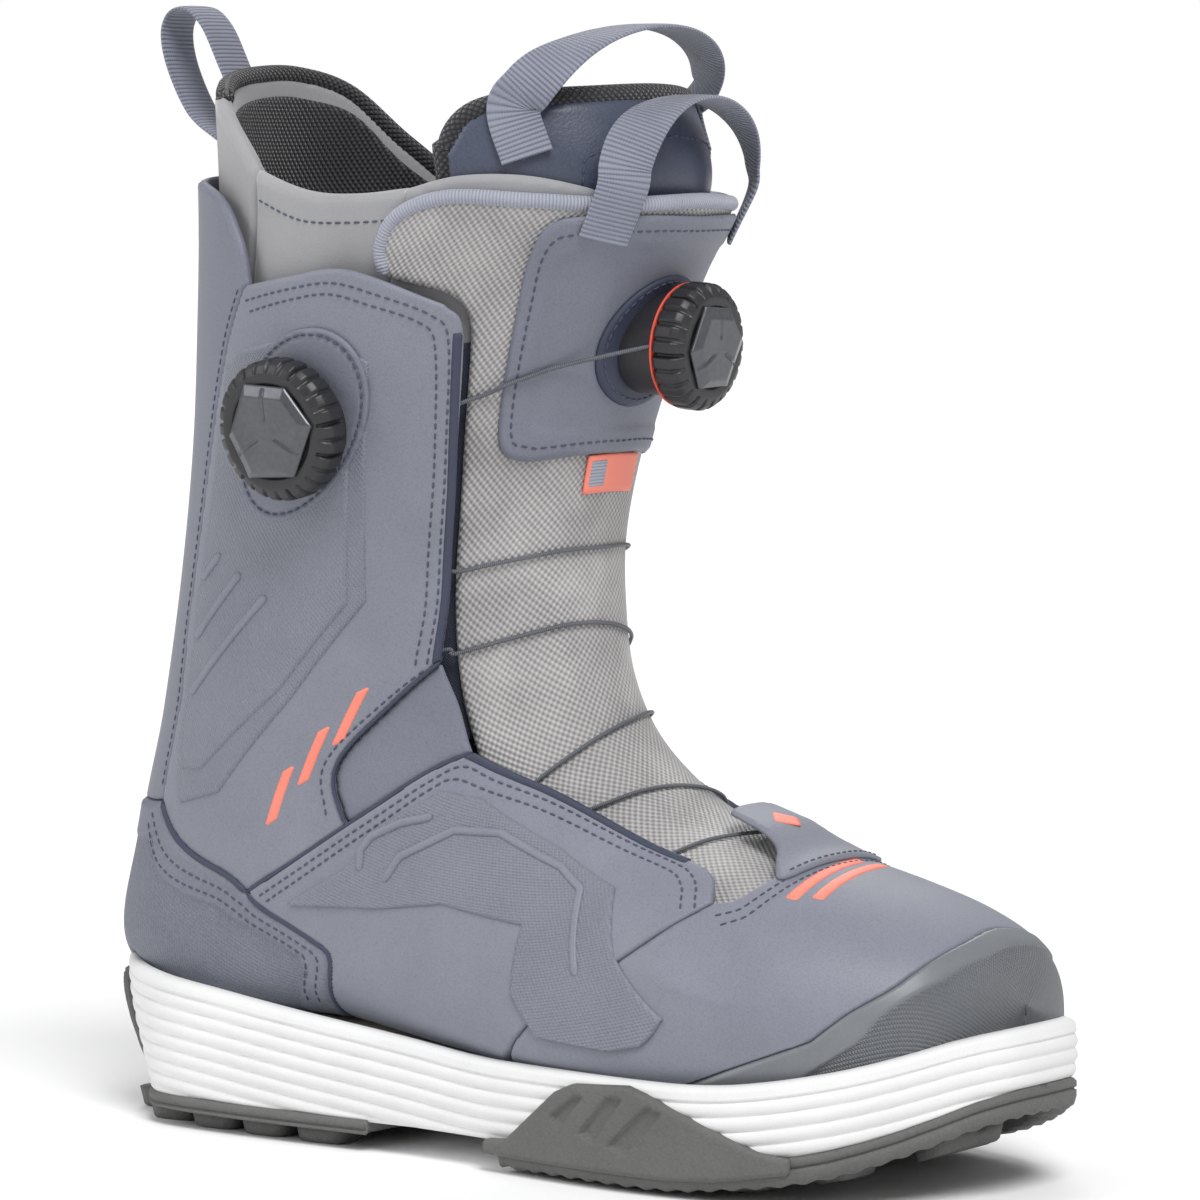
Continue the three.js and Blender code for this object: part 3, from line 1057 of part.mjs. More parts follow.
addPiece('heel_tread', makeHeelTread(), RUBBER_GREY);
addPiece('forefoot_tread', makeForefootTread(), RUBBER_GREY);
addPiece('midsole', makeMidsole(), FOAM_WHITE);
addShell();
addTongue();
addTrims();
addLiner();
addLoops();
addDials();
addLaces();

export default boot;
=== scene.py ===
"""Right-foot snowboard boot: soft laminated shell, lugged sole, inner boot, opening tongue and two lace dials.

Every soft panel is a piece of one boot form. A place on the form is t (0 at the toe tip, 18 above the
collar), s (0 on the front ridge, +1 or -1 on the sole and back line, plus on the outer side) and a depth
in millimetres (0 on the outside face of the shell, minus towards the foot).
"""

import logging
import math
from dataclasses import dataclass, field
from enum import Enum
from typing import Callable, Optional, Sequence

import bmesh
import bpy
import numpy as np
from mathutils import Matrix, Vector


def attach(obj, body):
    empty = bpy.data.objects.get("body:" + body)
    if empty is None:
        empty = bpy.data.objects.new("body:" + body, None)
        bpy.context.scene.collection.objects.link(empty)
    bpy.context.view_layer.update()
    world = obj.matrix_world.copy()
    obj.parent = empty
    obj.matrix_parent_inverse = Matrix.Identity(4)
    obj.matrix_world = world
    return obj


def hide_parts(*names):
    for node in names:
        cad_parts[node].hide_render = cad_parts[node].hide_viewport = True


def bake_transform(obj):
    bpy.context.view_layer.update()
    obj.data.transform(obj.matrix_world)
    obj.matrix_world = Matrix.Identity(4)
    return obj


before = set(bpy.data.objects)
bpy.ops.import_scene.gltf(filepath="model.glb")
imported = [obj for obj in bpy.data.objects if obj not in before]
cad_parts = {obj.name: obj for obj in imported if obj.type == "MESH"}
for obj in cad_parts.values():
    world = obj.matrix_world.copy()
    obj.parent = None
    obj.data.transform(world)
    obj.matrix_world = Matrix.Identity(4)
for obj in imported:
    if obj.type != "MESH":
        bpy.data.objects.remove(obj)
LOG = logging.getLogger("snowboard_boot")
MM = 0.001
Pair = tuple[float, float]
Path = Sequence[Pair]
DepthAt = Callable[[np.ndarray, np.ndarray], np.ndarray]


# ------------------------------------------------------------------ finishes
class Grain(Enum):
    """The small surface pattern of a finish."""

    LEATHER = "leather"
    WEAVE = "weave"
    KNIT = "knit"
    RIBBED = "ribbed"
    PEBBLE = "pebble"
    FOAM = "foam"
    KNURL = "knurl"
    SUEDE = "suede"
    SMOOTH = "smooth"


def linear(colour: str) -> tuple[float, float, float, float]:
    """Turns a six-digit screen colour into linear red, green, blue and alpha."""
    parts = [int(colour[k:k + 2], 16) / 255 for k in (0, 2, 4)]
    return (*[p / 12.92 if p <= 0.04045 else ((p + 0.055) / 1.055) ** 2.4 for p in parts], 1.0)


@dataclass(frozen=True)
class Finish:
    """One material of the boot: its colours, gloss and grain.

    `pitch` is the size of the grain in millimetres and `depth` how deep it is; where the mesh carries the
    attribute "worked", the grain is `worked_depth` deep instead, as on an embossed or knurled field.
    """

    name: str
    slot: str
    colour: str
    second: str
    grain: Grain
    roughness: float
    pitch: float
    depth: float
    worked_depth: float = 0.0
    sheen: float = 0.0
    metal: float = 0.0
    coat: float = 0.0

    def build(self) -> bpy.types.Material:
        """Makes the node material, or returns it if it is there.

        Returns:
            The material, with a Principled shader, a colour that drifts and a bump of the finish's grain.
        """
        found = bpy.data.materials.get(self.name)
        if found:
            return found
        material = bpy.data.materials.new(self.name)
        material.use_nodes = True
        tree = material.node_tree
        shader = tree.nodes["Principled BSDF"]
        shader.inputs["Metallic"].default_value = self.metal
        shader.inputs["Sheen Weight"].default_value = self.sheen
        shader.inputs["Sheen Roughness"].default_value = 0.4
        shader.inputs["Coat Weight"].default_value = self.coat
        shader.inputs["Coat Roughness"].default_value = 0.25
        kit = NodeKit(tree)
        drift = kit.noise(kit.place("Object"), 55.0, 3.0)
        height = self.height(kit)
        mix = kit.maths("MULTIPLY_ADD", drift, 0.5, kit.maths("MULTIPLY", height, 0.45))
        tree.links.new(kit.ramp(mix, linear(self.colour), linear(self.second)), shader.inputs["Base Color"])
        gloss = kit.maths("MULTIPLY_ADD", drift, 0.16, self.roughness - 0.08)
        tree.links.new(gloss, shader.inputs["Roughness"])
        self.bump(kit, height, shader)
        return material

    def height(self, kit: "NodeKit") -> bpy.types.NodeSocket:
        """The grain's height, 0 to 1.

        Args:
            kit: helper that adds nodes to the material.

        Returns:
            The socket that gives the height.
        """
        rate = 1.0 / (self.pitch * MM)
        if self.grain in (Grain.WEAVE, Grain.KNIT, Grain.RIBBED, Grain.KNURL):
            return kit.woven(self.grain, self.pitch)
        if self.grain is Grain.LEATHER:
            return kit.cells(kit.place("Object"), rate)
        if self.grain is Grain.PEBBLE:
            return kit.maths("ADD", kit.maths("MULTIPLY", kit.cells(kit.place("Object"), rate), 0.6),
                             kit.maths("MULTIPLY", kit.noise(kit.place("Object"), rate * 2.0, 2.0), 0.4))
        return kit.noise(kit.place("Object"), rate, 4.0)

    def bump(self, kit: "NodeKit", height: bpy.types.NodeSocket, shader: bpy.types.Node) -> None:
        """Bends the shader's normal by the grain.

        Args:
            kit: helper that adds nodes to the material.
            height: the grain's height.
            shader: the Principled shader.
        """
        node = kit.tree.nodes.new("ShaderNodeBump")
        node.inputs["Distance"].default_value = MM
        node.inputs["Strength"].default_value = 1.0
        if self.worked_depth:
            dots = kit.woven(Grain.KNURL, 1.15)
            worked = kit.attribute("worked")
            fine = kit.maths("MULTIPLY", height, self.depth)
            kit.tree.links.new(
                kit.maths("ADD", fine, kit.maths("MULTIPLY", kit.maths("MULTIPLY", dots, self.worked_depth), worked)),
                node.inputs["Height"])
        else:
            kit.tree.links.new(kit.maths("MULTIPLY", height, self.depth), node.inputs["Height"])
        kit.tree.links.new(node.outputs["Normal"], shader.inputs["Normal"])


@dataclass
class NodeKit:
    """Adds small groups of nodes to one material's tree."""

    tree: bpy.types.NodeTree

    def maths(self, operation: str, *values: object) -> bpy.types.NodeSocket:
        """Adds a Math node whose inputs are numbers or sockets, and returns its output."""
        node = self.tree.nodes.new("ShaderNodeMath")
        node.operation = operation
        for place, value in zip(node.inputs, values):
            if isinstance(value, (int, float)):
                place.default_value = value
            else:
                self.tree.links.new(value, place)
        return node.outputs[0]

    def place(self, output: str) -> bpy.types.NodeSocket:
        """Returns one output of a Texture Coordinate node."""
        return self.tree.nodes.new("ShaderNodeTexCoord").outputs[output]

    def attribute(self, name: str) -> bpy.types.NodeSocket:
        """Returns a vertex attribute as a number."""
        node = self.tree.nodes.new("ShaderNodeAttribute")
        node.attribute_name = name
        return node.outputs["Fac"]

    def noise(self, where: bpy.types.NodeSocket, scale: float, detail: float) -> bpy.types.NodeSocket:
        """Returns smooth noise at a scale per metre."""
        node = self.tree.nodes.new("ShaderNodeTexNoise")
        node.inputs["Scale"].default_value = scale
        node.inputs["Detail"].default_value = detail
        self.tree.links.new(where, node.inputs["Vector"])
        return node.outputs["Fac"]

    def cells(self, where: bpy.types.NodeSocket, scale: float) -> bpy.types.NodeSocket:
        """Returns pebbly cells: high in each cell's middle, low between the cells."""
        node = self.tree.nodes.new("ShaderNodeTexVoronoi")
        node.feature = "SMOOTH_F1"
        node.inputs["Scale"].default_value = scale
        node.inputs["Smoothness"].default_value = 0.5
        self.tree.links.new(where, node.inputs["Vector"])
        return self.maths("SUBTRACT", 1.0, node.outputs["Distance"])

    def ramp(self, value: bpy.types.NodeSocket, low: tuple, high: tuple) -> bpy.types.NodeSocket:
        """Returns a colour between low and high."""
        node = self.tree.nodes.new("ShaderNodeValToRGB")
        node.color_ramp.elements[0].color = low
        node.color_ramp.elements[1].color = high
        node.color_ramp.elements[0].position = 0.25
        node.color_ramp.elements[1].position = 0.75
        self.tree.links.new(value, node.inputs["Fac"])
        return node.outputs["Color"]

    def woven(self, grain: Grain, pitch: float) -> bpy.types.NodeSocket:
        """Threads, dots or ribs that follow the piece's own UV map, which is in metres.

        The weave is a chequer of pillows, each |sin(pi u / p)| times |sin(pi v / p)|, raised on every
        other cell; the knit and the knurl are the same on axes turned by 45 degrees, deeper and shallower;
        ribs run across the strap, |sin(pi v / p)|.

        Args:
            grain: which pattern.
            pitch: the size of one thread, dot or rib, in millimetres.

        Returns:
            The height, 0 to 1.
        """
        split = self.tree.nodes.new("ShaderNodeSeparateXYZ")
        self.tree.links.new(self.place("UV"), split.inputs[0])
        u, v = split.outputs[0], split.outputs[1]
        if grain in (Grain.KNIT, Grain.KNURL):
            u, v = self.maths("ADD", u, v), self.maths("SUBTRACT", u, v)
        turn = math.pi / (pitch * MM)
        wave_u = self.maths("SINE", self.maths("MULTIPLY", u, turn))
        wave_v = self.maths("SINE", self.maths("MULTIPLY", v, turn))
        if grain is Grain.RIBBED:
            across = self.maths("MULTIPLY", self.maths("SINE", self.maths("MULTIPLY", u, turn * 1.6)), 0.2)
            return self.maths("ADD", self.maths("ABSOLUTE", wave_v), self.maths("ABSOLUTE", across))
        product = self.maths("MULTIPLY", wave_u, wave_v)
        if grain is Grain.WEAVE:
            return self.maths("MULTIPLY_ADD", product, 0.5, 0.5)
        return self.maths("ABSOLUTE", product)


SHELL = Finish("shell_leather", "shell_bluegrey", "767985", "858894", Grain.LEATHER, 0.52, 0.55, 0.05, 0.20, sheen=0.08)
SHELL_LOW = Finish("shell_leather_dark", "shell_grey", "6c6f7c", "7a7d8a", Grain.LEATHER, 0.54, 0.55, 0.05, 0.10,
    sheen=0.08)
HEEL = Finish("heel_rubber_panel", "heel_rubber", "6d707d", "7d808c", Grain.LEATHER, 0.55, 0.9, 0.06, 0.28)
TOE = Finish("toe_rubber_cap", "toe_rubber", "6c6f74", "7c7f84", Grain.FOAM, 0.42, 0.6, 0.03, 0.45)
WEAVE = Finish("tongue_weave", "tongue_silver_weave", "7d7b7c", "c6c4c3", Grain.WEAVE, 0.45, 1.0, 0.38, sheen=0.2)
NAVY = Finish("navy_cloth", "gusset_cloth", "2d3140", "3b4052", Grain.KNIT, 0.7, 0.8, 0.15, sheen=0.2)
PIPING = Finish("navy_piping", "gusset_cloth", "32374a", "3f4559", Grain.FOAM, 0.6, 0.5, 0.05)
COATED = Finish("liner_coated_navy", "liner_navy", "3d4355", "4b5165", Grain.LEATHER, 0.42, 0.7, 0.05, coat=0.15)
SUEDE = Finish("liner_microsuede", "liner_suede", "939396", "a5a5a8", Grain.SUEDE, 0.9, 0.35, 0.10, sheen=0.6)
MESH = Finish("liner_knit_mesh", "liner_mesh", "1f1e21", "47454a", Grain.KNIT, 0.85, 1.9, 0.6, sheen=0.3)
WEBBING = Finish("ribbed_webbing", "webbing", "686c7c", "8b8f9e", Grain.RIBBED, 0.7, 1.25, 0.32, sheen=0.3)
BINDING = Finish("grosgrain_binding", "webbing", "8d90a0", "a6a9b6", Grain.RIBBED, 0.7, 0.9, 0.22, sheen=0.3)
THREAD = Finish("stitching_thread", "webbing", "34384a", "5c6074", Grain.RIBBED, 0.6, 0.5, 0.1)
THREAD_DARK = Finish("stitching_thread_dark", "gusset_cloth", "3f4558", "525870", Grain.RIBBED, 0.6, 0.5, 0.1)
CORAL = Finish("coral_print", "label_coral", "f2806b", "f58f7c", Grain.SMOOTH, 0.5, 0.6, 0.02)
CORAL_PLASTIC = Finish("coral_plastic", "pawl_coral", "e0523f", "e85f4c", Grain.SMOOTH, 0.4, 0.8, 0.02)
BLACK = Finish("dial_nylon", "dial_black", "232326", "313135", Grain.FOAM, 0.42, 0.5, 0.05)
BADGE = Finish("dial_badge_satin", "dial_badge", "4f5054", "67686d", Grain.SMOOTH, 0.3, 1.5, 0.01, metal=0.55)
STEEL = Finish("turned_steel", "dial_steel", "9a9a9c", "b0b0b2", Grain.SMOOTH, 0.28, 1.0, 0.01, metal=1.0)
LACE = Finish("coated_cable", "lace_steel", "3e4046", "6c6f76", Grain.RIBBED, 0.4, 0.55, 0.12)
FOAM = Finish("midsole_foam", "foam_midsole", "dedede", "ebebeb", Grain.FOAM, 0.6, 0.5, 0.04)
RUBBER = Finish("outsole_rubber", "rubber_outsole", "5a5a59", "6b6b6a", Grain.PEBBLE, 0.7, 0.9, 0.22)
BOARD = Finish("pressed_board", "lasting_board", "b8a585", "c4b291", Grain.FOAM, 0.8, 0.8, 0.05)
BED = Finish("footbed_knit", "footbed_foam", "d88474", "e39484", Grain.KNIT, 0.8, 1.4, 0.3)


# ------------------------------------------------------------------ the boot form
FORM_ROWS = np.array([
    [238.5, 48, 238.5, 48, 0, 0, 6, 0.6, 2.0, 3.0], [236, 61, 237, 36, 23, 21, 6, 0.64, 2.1, 4.0],
    [229, 67, 229, 32, 37, 33, 5, 0.68, 2.2, 5.0], [216, 73, 214, 29, 46, 41, 4, 0.7, 2.2, 5.0],
    [201, 78, 192, 27, 52, 46, 2, 0.72, 2.2, 5.0], [184, 83, 160, 25, 54, 48, 0, 0.72, 2.2, 5.0],
    [167, 89, 124, 25, 52, 47, -1, 0.7, 2.2, 4.5], [150, 95, 85, 27, 48, 44, 0, 0.66, 2.2, 3.5],
    [136, 104, 43, 31, 45, 42, 0, 0.6, 2.2, 2.8], [124, 116, 2, 34, 43, 42, 0, 0.54, 2.2, 2.4],
    [117, 131, -34, 44, 43, 42, 0, 0.5, 2.2, 2.2], [114, 148, -41, 72, 45, 44, 0, 0.5, 2.2, 2.1],
    [113, 167, -31, 110, 48, 47, 0, 0.5, 2.2, 2.1], [117, 188, -23, 148, 51, 50, 0, 0.5, 2.2, 2.1],
    [124, 210, -17, 185, 55, 54, 0, 0.5, 2.2, 2.1], [134, 234, -14, 220, 59, 57, 0, 0.5, 2.2, 2.1],
    [147, 260, -13, 252, 62, 60, 0, 0.5, 2.2, 2.1], [139, 284, -13, 282, 64, 62, 0, 0.5, 2.2, 2.1],
    [128, 308, -14, 312, 66, 64, 0, 0.5, 2.2, 2.1],
])


@dataclass
class BootForm:
    """The outside form of the boot, in millimetres.

    Each row of `rows` is a cross-section: front point x z, back point x z, half-widths outer and inner,
    centre y, where along front-to-back it is widest, and the squareness of its two halves.
    """

    rows: np.ndarray = field(default_factory=lambda: FORM_ROWS)
    toe_height: float = 56.0
    toe_half_width: float = 40.0
    toe_rows: float = 4.0

    def section(self, t: np.ndarray) -> np.ndarray:
        """The cross-section at t: a Catmull-Rom curve through the rows.

        Args:
            t: place along the form.

        Returns:
            Array of t's shape with a last axis of ten values.
        """
        last = len(self.rows) - 1
        t = np.clip(t, 0, last)
        i = np.minimum(t.astype(int), last - 1)
        f = (t - i)[..., None]
        here, after = self.rows[i], self.rows[i + 1]
        before = np.where((i == 0)[..., None], 2 * here - after, self.rows[np.maximum(i - 1, 0)])
        beyond = np.where((i == last - 1)[..., None], 2 * after - here, self.rows[np.minimum(i + 2, last)])
        return 0.5 * (2 * here + (after - before) * f + (2 * before - 5 * here + 4 * after - beyond) * f ** 2
                      + (3 * here - before - 3 * after + beyond) * f ** 3)

    def point(self, t: np.ndarray, s: np.ndarray, depth: np.ndarray) -> np.ndarray:
        """A point of the form: a superellipse section whose front half and back half differ.

        Args:
            t: place along the form.
            s: place round it.
            depth: outward offset in millimetres.

        Returns:
            Points, last axis x y z.
        """
        t, s, depth = np.broadcast_arrays(*[np.asarray(a, float) for a in (t, s, depth)])
        s = np.where(s > 1, s - 2, s)
        q = self.section(t)
        angle = np.abs(s) * math.pi
        cosine, sine = np.abs(np.cos(angle)), np.abs(np.sin(angle))
        front = angle < math.pi / 2
        square = np.where(front, q[..., 8], q[..., 9])
        reach = (cosine ** square + sine ** square) ** (-1 / square)
        widest = q[..., 7]
        along = np.where(front, widest * (1 - reach * cosine), widest + (1 - widest) * reach * cosine)
        across = q[..., 2:4] - q[..., 0:2]
        height = np.linalg.norm(across, axis=-1)
        unit = across / np.maximum(height, 1e-3)[..., None]
        grow = depth * np.minimum(1, height / self.toe_height)
        slide = along * (height + 2 * grow) - grow
        half = np.where(s >= 0, -q[..., 4], q[..., 5])
        spread = half * (1 + depth / np.maximum(np.abs(half), self.toe_half_width))
        shift = depth * np.maximum(0, 1 - t / self.toe_rows) ** 2
        return np.stack([q[..., 0] + unit[..., 0] * slide + shift, q[..., 6] + spread * reach * sine,
                         q[..., 1] + unit[..., 1] * slide], -1)

    def normal(self, t: np.ndarray, s: np.ndarray) -> np.ndarray:
        """The outward unit normal: the cross product of the steps along t and along s."""
        t, s = np.asarray(t, float), np.asarray(s, float)
        step = 0.02
        along_t = self.point(t + step, s, 0) - self.point(np.maximum(t - step, 0), s, 0)
        along_s = self.point(t, s + step, 0) - self.point(t, s - step, 0)
        n = np.cross(along_t, along_s)
        return n / np.maximum(np.linalg.norm(n, axis=-1, keepdims=True), 1e-9)


FORM = BootForm()


@dataclass
class SoleForm:
    """The upright side wall of the sole, in millimetres.

    A place on it is a (0 at the back, going round by the outer side, 1 back at the start) and b, the
    height above the floor. Depth is outward.
    """

    plan: np.ndarray = field(default_factory=lambda: np.array([
        [-42, 11, 11], [-38, 20, 20], [-30, 29, 29], [-18, 36.5, 36], [-4, 41.5, 40.5], [20, 44, 43],
        [45, 45, 43], [70, 45.5, 42.5], [95, 47.5, 44], [120, 52, 47], [145, 56, 50.5], [165, 57.5, 52],
        [185, 56.5, 51], [203, 52.5, 48], [218, 45.5, 43], [231, 34, 35.5], [240, 21, 26], [246, 8, 16]]))
    rim: np.ndarray = field(default_factory=lambda: np.array([
        [-42, 46], [-30, 43], [5, 40], [47, 35], [75, 32], [102, 29], [179, 29], [197, 31], [222, 36], [246, 45]]))
    floor: np.ndarray = field(default_factory=lambda: np.array([
        [-42, 0], [170, 0], [185, 1.5], [206, 4.2], [220, 8], [234, 14], [246, 21]]))
    count: int = 720

    def __post_init__(self) -> None:
        """Works out the smooth closed plan line and its outward normals, evenly spaced."""
        outer = np.stack([self.plan[:, 0], -self.plan[:, 1]], -1)
        inner = np.stack([self.plan[::-1, 0], self.plan[::-1, 2]], -1)
        ring = catmull(np.vstack([outer, inner]), 14, closed=True)
        for _ in range(10):
            ring = 0.5 * ring + 0.25 * (np.roll(ring, 1, 0) + np.roll(ring, -1, 0))
        self.line = resample(np.vstack([ring, ring[:1]]), self.count + 1)[:-1]
        ahead = np.roll(self.line, -1, 0) - np.roll(self.line, 1, 0)
        ahead /= np.linalg.norm(ahead, axis=1, keepdims=True)
        self.out = np.stack([ahead[:, 1], -ahead[:, 0]], -1)
        self.length = float(np.linalg.norm(np.roll(self.line, -1, 0) - self.line, axis=1).sum())

    def rim_at(self, x: np.ndarray) -> np.ndarray:
        """Height of the midsole's top rim at x, rounded over its knees."""
        return sum(np.interp(x + d, self.rim[:, 0], self.rim[:, 1]) for d in (-9, -4.5, 0, 4.5, 9)) / 5

    def floor_at(self, x: np.ndarray) -> np.ndarray:
        """Height of the lugs' feet at x: flat, then sprung up to the toe."""
        return sum(np.interp(x + d, self.floor[:, 0], self.floor[:, 1]) for d in (-6, 0, 6)) / 3

    def plan_at(self, a: np.ndarray) -> tuple[np.ndarray, np.ndarray]:
        """Points and outward normals of the plan line at a, both x y."""
        k = np.arange(self.count + 1) / self.count
        closed = np.vstack([self.line, self.line[:1]])
        normals = np.vstack([self.out, self.out[:1]])
        a = np.mod(a, 1.0)
        pick = lambda table: np.stack([np.interp(a, k, table[:, c]) for c in (0, 1)], -1)
        return pick(closed), pick(normals)

    def point(self, a: np.ndarray, b: np.ndarray, depth: np.ndarray) -> np.ndarray:
        """The plan line at a, moved out by depth, at height b."""
        a, b, depth = np.broadcast_arrays(*[np.asarray(v, float) for v in (a, b, depth)])
        at, out = self.plan_at(a)
        flat = at + out * depth[..., None]
        return np.concatenate([flat, b[..., None]], -1)

    def a_of_x(self, x: float, outer: bool = True) -> float:
        """Where along the plan line the sole has this x, on the outer or the inner side."""
        side = self.line[:, 1] < 0 if outer else self.line[:, 1] > 0
        gap = np.where(side, np.abs(self.line[:, 0] - x), 1e9)
        return float(np.argmin(gap)) / self.count


def catmull(points: np.ndarray, per: int, closed: bool = False) -> np.ndarray:
    """A smooth line through points: on each span, the Catmull-Rom cubic of its four neighbours.

    Args:
        points: the points, one a row.
        per: how many steps each span gets.
        closed: whether the line ends where it starts.

    Returns:
        The points of the smooth line, the last point included if it is open.
    """
    p = np.asarray(points, float)
    if closed:
        p = np.vstack([p[-1:], p, p[:2]])
    else:
        p = np.vstack([2 * p[:1] - p[1:2], p, 2 * p[-1:] - p[-2:-1]])
    f = (np.arange(per) / per)[None, :, None]
    a, b, c, d = (p[k:len(p) - 3 + k][:, None, :] for k in range(4))
    out = 0.5 * (2 * b + (c - a) * f + (2 * a - 5 * b + 4 * c - d) * f ** 2 + (3 * b - a - 3 * c + d) * f ** 3)
    out = out.reshape(-1, p.shape[1])
    return out if closed else np.vstack([out, p[-2:-1]])


def resample(points: np.ndarray, count: int) -> np.ndarray:
    """The same line with its points evenly spaced along its length."""
    step = np.linalg.norm(np.diff(points, axis=0), axis=1)
    run = np.concatenate([[0], np.cumsum(step)])
    at = np.linspace(0, run[-1], count)
    return np.stack([np.interp(at, run, points[:, c]) for c in range(points.shape[1])], -1)


SOLE = SoleForm()


# ------------------------------------------------------------------ meshes
def to_object(name: str, points: np.ndarray, faces: Sequence[np.ndarray], finish: Finish,
              uv: Optional[np.ndarray] = None, worked: Optional[np.ndarray] = None) -> bpy.types.Object:
    """Puts points and faces into a new mesh object at the origin.

    Args:
        name: the piece's name.
        points: vertices in millimetres.
        faces: arrays of triangles or quads.
        finish: its material.
        uv: one UV pair a vertex, in millimetres.
        worked: one number a vertex, 1 where the grain is the worked one.

    Returns:
        The object, linked to the scene, smooth shaded.
    """
    mesh = bpy.data.meshes.new(name)
    lists = [row for block in faces for row in np.asarray(block).tolist()]
    mesh.from_pydata((np.asarray(points) * MM).tolist(), [], lists)
    mesh.polygons.foreach_set("use_smooth", np.ones(len(mesh.polygons), bool))
    loops = np.empty(len(mesh.loops), np.int32)
    mesh.loops.foreach_get("vertex_index", loops)
    if uv is None:
        uv = np.asarray(points)[:, :2]
    layer = mesh.uv_layers.new(name="cloth")
    layer.data.foreach_set("uv", (np.asarray(uv) * MM)[loops].astype(np.float32).ravel())
    attribute = mesh.attributes.new("worked", "FLOAT", "POINT")
    attribute.data.foreach_set("value", (np.zeros(len(points)) if worked is None else worked).astype(np.float32))
    mesh.materials.append(finish.build())
    mesh.update()
    outward(mesh)
    piece = bpy.data.objects.new(name, mesh)
    bpy.context.scene.collection.objects.link(piece)
    return piece


def outward(mesh: bpy.types.Mesh) -> None:
    """Turns a closed mesh's faces to point out: flips all of them if its signed volume is negative."""
    mesh.calc_loop_triangles()
    tris = np.empty(len(mesh.loop_triangles) * 3, np.int32)
    mesh.loop_triangles.foreach_get("vertices", tris)
    at = np.empty(len(mesh.vertices) * 3, np.float32)
    mesh.vertices.foreach_get("co", at)
    corner = at.reshape(-1, 3).astype(float)[tris.reshape(-1, 3)]
    if np.einsum("ij,ij->i", corner[:, 0], np.cross(corner[:, 1], corner[:, 2])).sum() < 0:
        mesh.flip_normals()


def grid_faces(rows: int, columns: int, wrap: bool = False) -> np.ndarray:
    """Quads of a grid of rows by columns points; wrap joins the last column to the first."""
    i, j = np.meshgrid(np.arange(rows - 1), np.arange(columns if wrap else columns - 1), indexing="ij")
    k = (j + 1) % columns
    return np.stack([i * columns + j, (i + 1) * columns + j, (i + 1) * columns + k, i * columns + k], -1).reshape(-1, 4)


def segment_distance(points: np.ndarray, line: np.ndarray) -> tuple[np.ndarray, np.ndarray, np.ndarray]:
    """Distance from each point to a line of segments.

    Each segment is a + f (b - a) with f held to 0..1; the nearest is kept.

    Args:
        points: N points.
        line: M + 1 points of the line.

    Returns:
        The distances, the index of the nearest segment and the fraction along it.
    """
    a, ab = line[:-1], np.diff(line, axis=0)
    size = np.maximum((ab ** 2).sum(1), 1e-12)
    best = np.full(len(points), 1e9)
    which = np.zeros(len(points), int)
    where = np.zeros(len(points))
    for start in range(0, len(points), 6000):
        chunk = points[start:start + 6000]
        to = chunk[:, None, :] - a[None]
        f = np.clip((to * ab[None]).sum(-1) / size, 0, 1)
        gap = ((to - f[..., None] * ab[None]) ** 2).sum(-1)
        k = gap.argmin(1)
        rows = np.arange(len(chunk))
        best[start:start + 6000] = np.sqrt(gap[rows, k])
        which[start:start + 6000] = k
        where[start:start + 6000] = f[rows, k]
    return best, which, where


def holds(ring: np.ndarray, points: np.ndarray) -> np.ndarray:
    """Whether each flat point is inside a closed ring, by counting the ring's crossings to its right."""
    inside = np.zeros(len(points), bool)
    a, b = ring, np.roll(ring, -1, 0)
    for start in range(0, len(points), 20000):
        p = points[start:start + 20000, None, :]
        spans = (a[None, :, 1] > p[..., 1]) != (b[None, :, 1] > p[..., 1])
        rise = np.where(b[:, 1] == a[:, 1], 1e-12, b[:, 1] - a[:, 1])
        cross = a[None, :, 0] + (p[..., 1] - a[None, :, 1]) * ((b[:, 0] - a[:, 0]) / rise)[None]
        inside[start:start + 20000] = (spans & (p[..., 0] < cross)).sum(1) % 2 == 1
    return inside


def smoothstep(value: np.ndarray) -> np.ndarray:
    """0 below 0, 1 above 1, and 3v^2 - 2v^3 between."""
    v = np.clip(value, 0, 1)
    return v * v * (3 - 2 * v)


@dataclass(frozen=True)
class Relief:
    """A raised or sunk shape worked into a panel: a line, or the field inside a closed line.

    A line is raised by height within half_width and slopes away over soft millimetres. A closed field is
    raised by height inside, sloping over soft millimetres across its edge.
    """

    path: Path
    height: float
    half_width: float = 1.0
    soft: float = 1.4
    closed: bool = False
    worked: bool = False
    smooth: bool = False

    def lift(self, form: object, flat: np.ndarray, points: np.ndarray) -> tuple[np.ndarray, np.ndarray]:
        """Its height and its worked share at each point.

        Args:
            form: the form the panel lies on.
            flat: the points' places on the form.
            points: the points.

        Returns:
            Heights in millimetres, and numbers 0 to 1.
        """
        line = np.asarray(self.path, float)
        if self.smooth:
            line = catmull(line, 8, self.closed)
        if self.closed:
            line = np.vstack([line, line[:1]])
        fine = np.vstack([np.linspace(a, b, 7)[:-1] for a, b in zip(line[:-1], line[1:])] + [line[-1:]])
        distance, _, _ = segment_distance(points, form.point(fine[:, 0], fine[:, 1], 0))
        if self.closed:
            signed = np.where(holds(fine[:-1], flat), distance, -distance)
            share = smoothstep(signed / self.soft + 0.5)
        else:
            share = smoothstep((self.half_width - distance) / self.soft + 1)
        return share * self.height, share if self.worked else np.zeros(len(points))


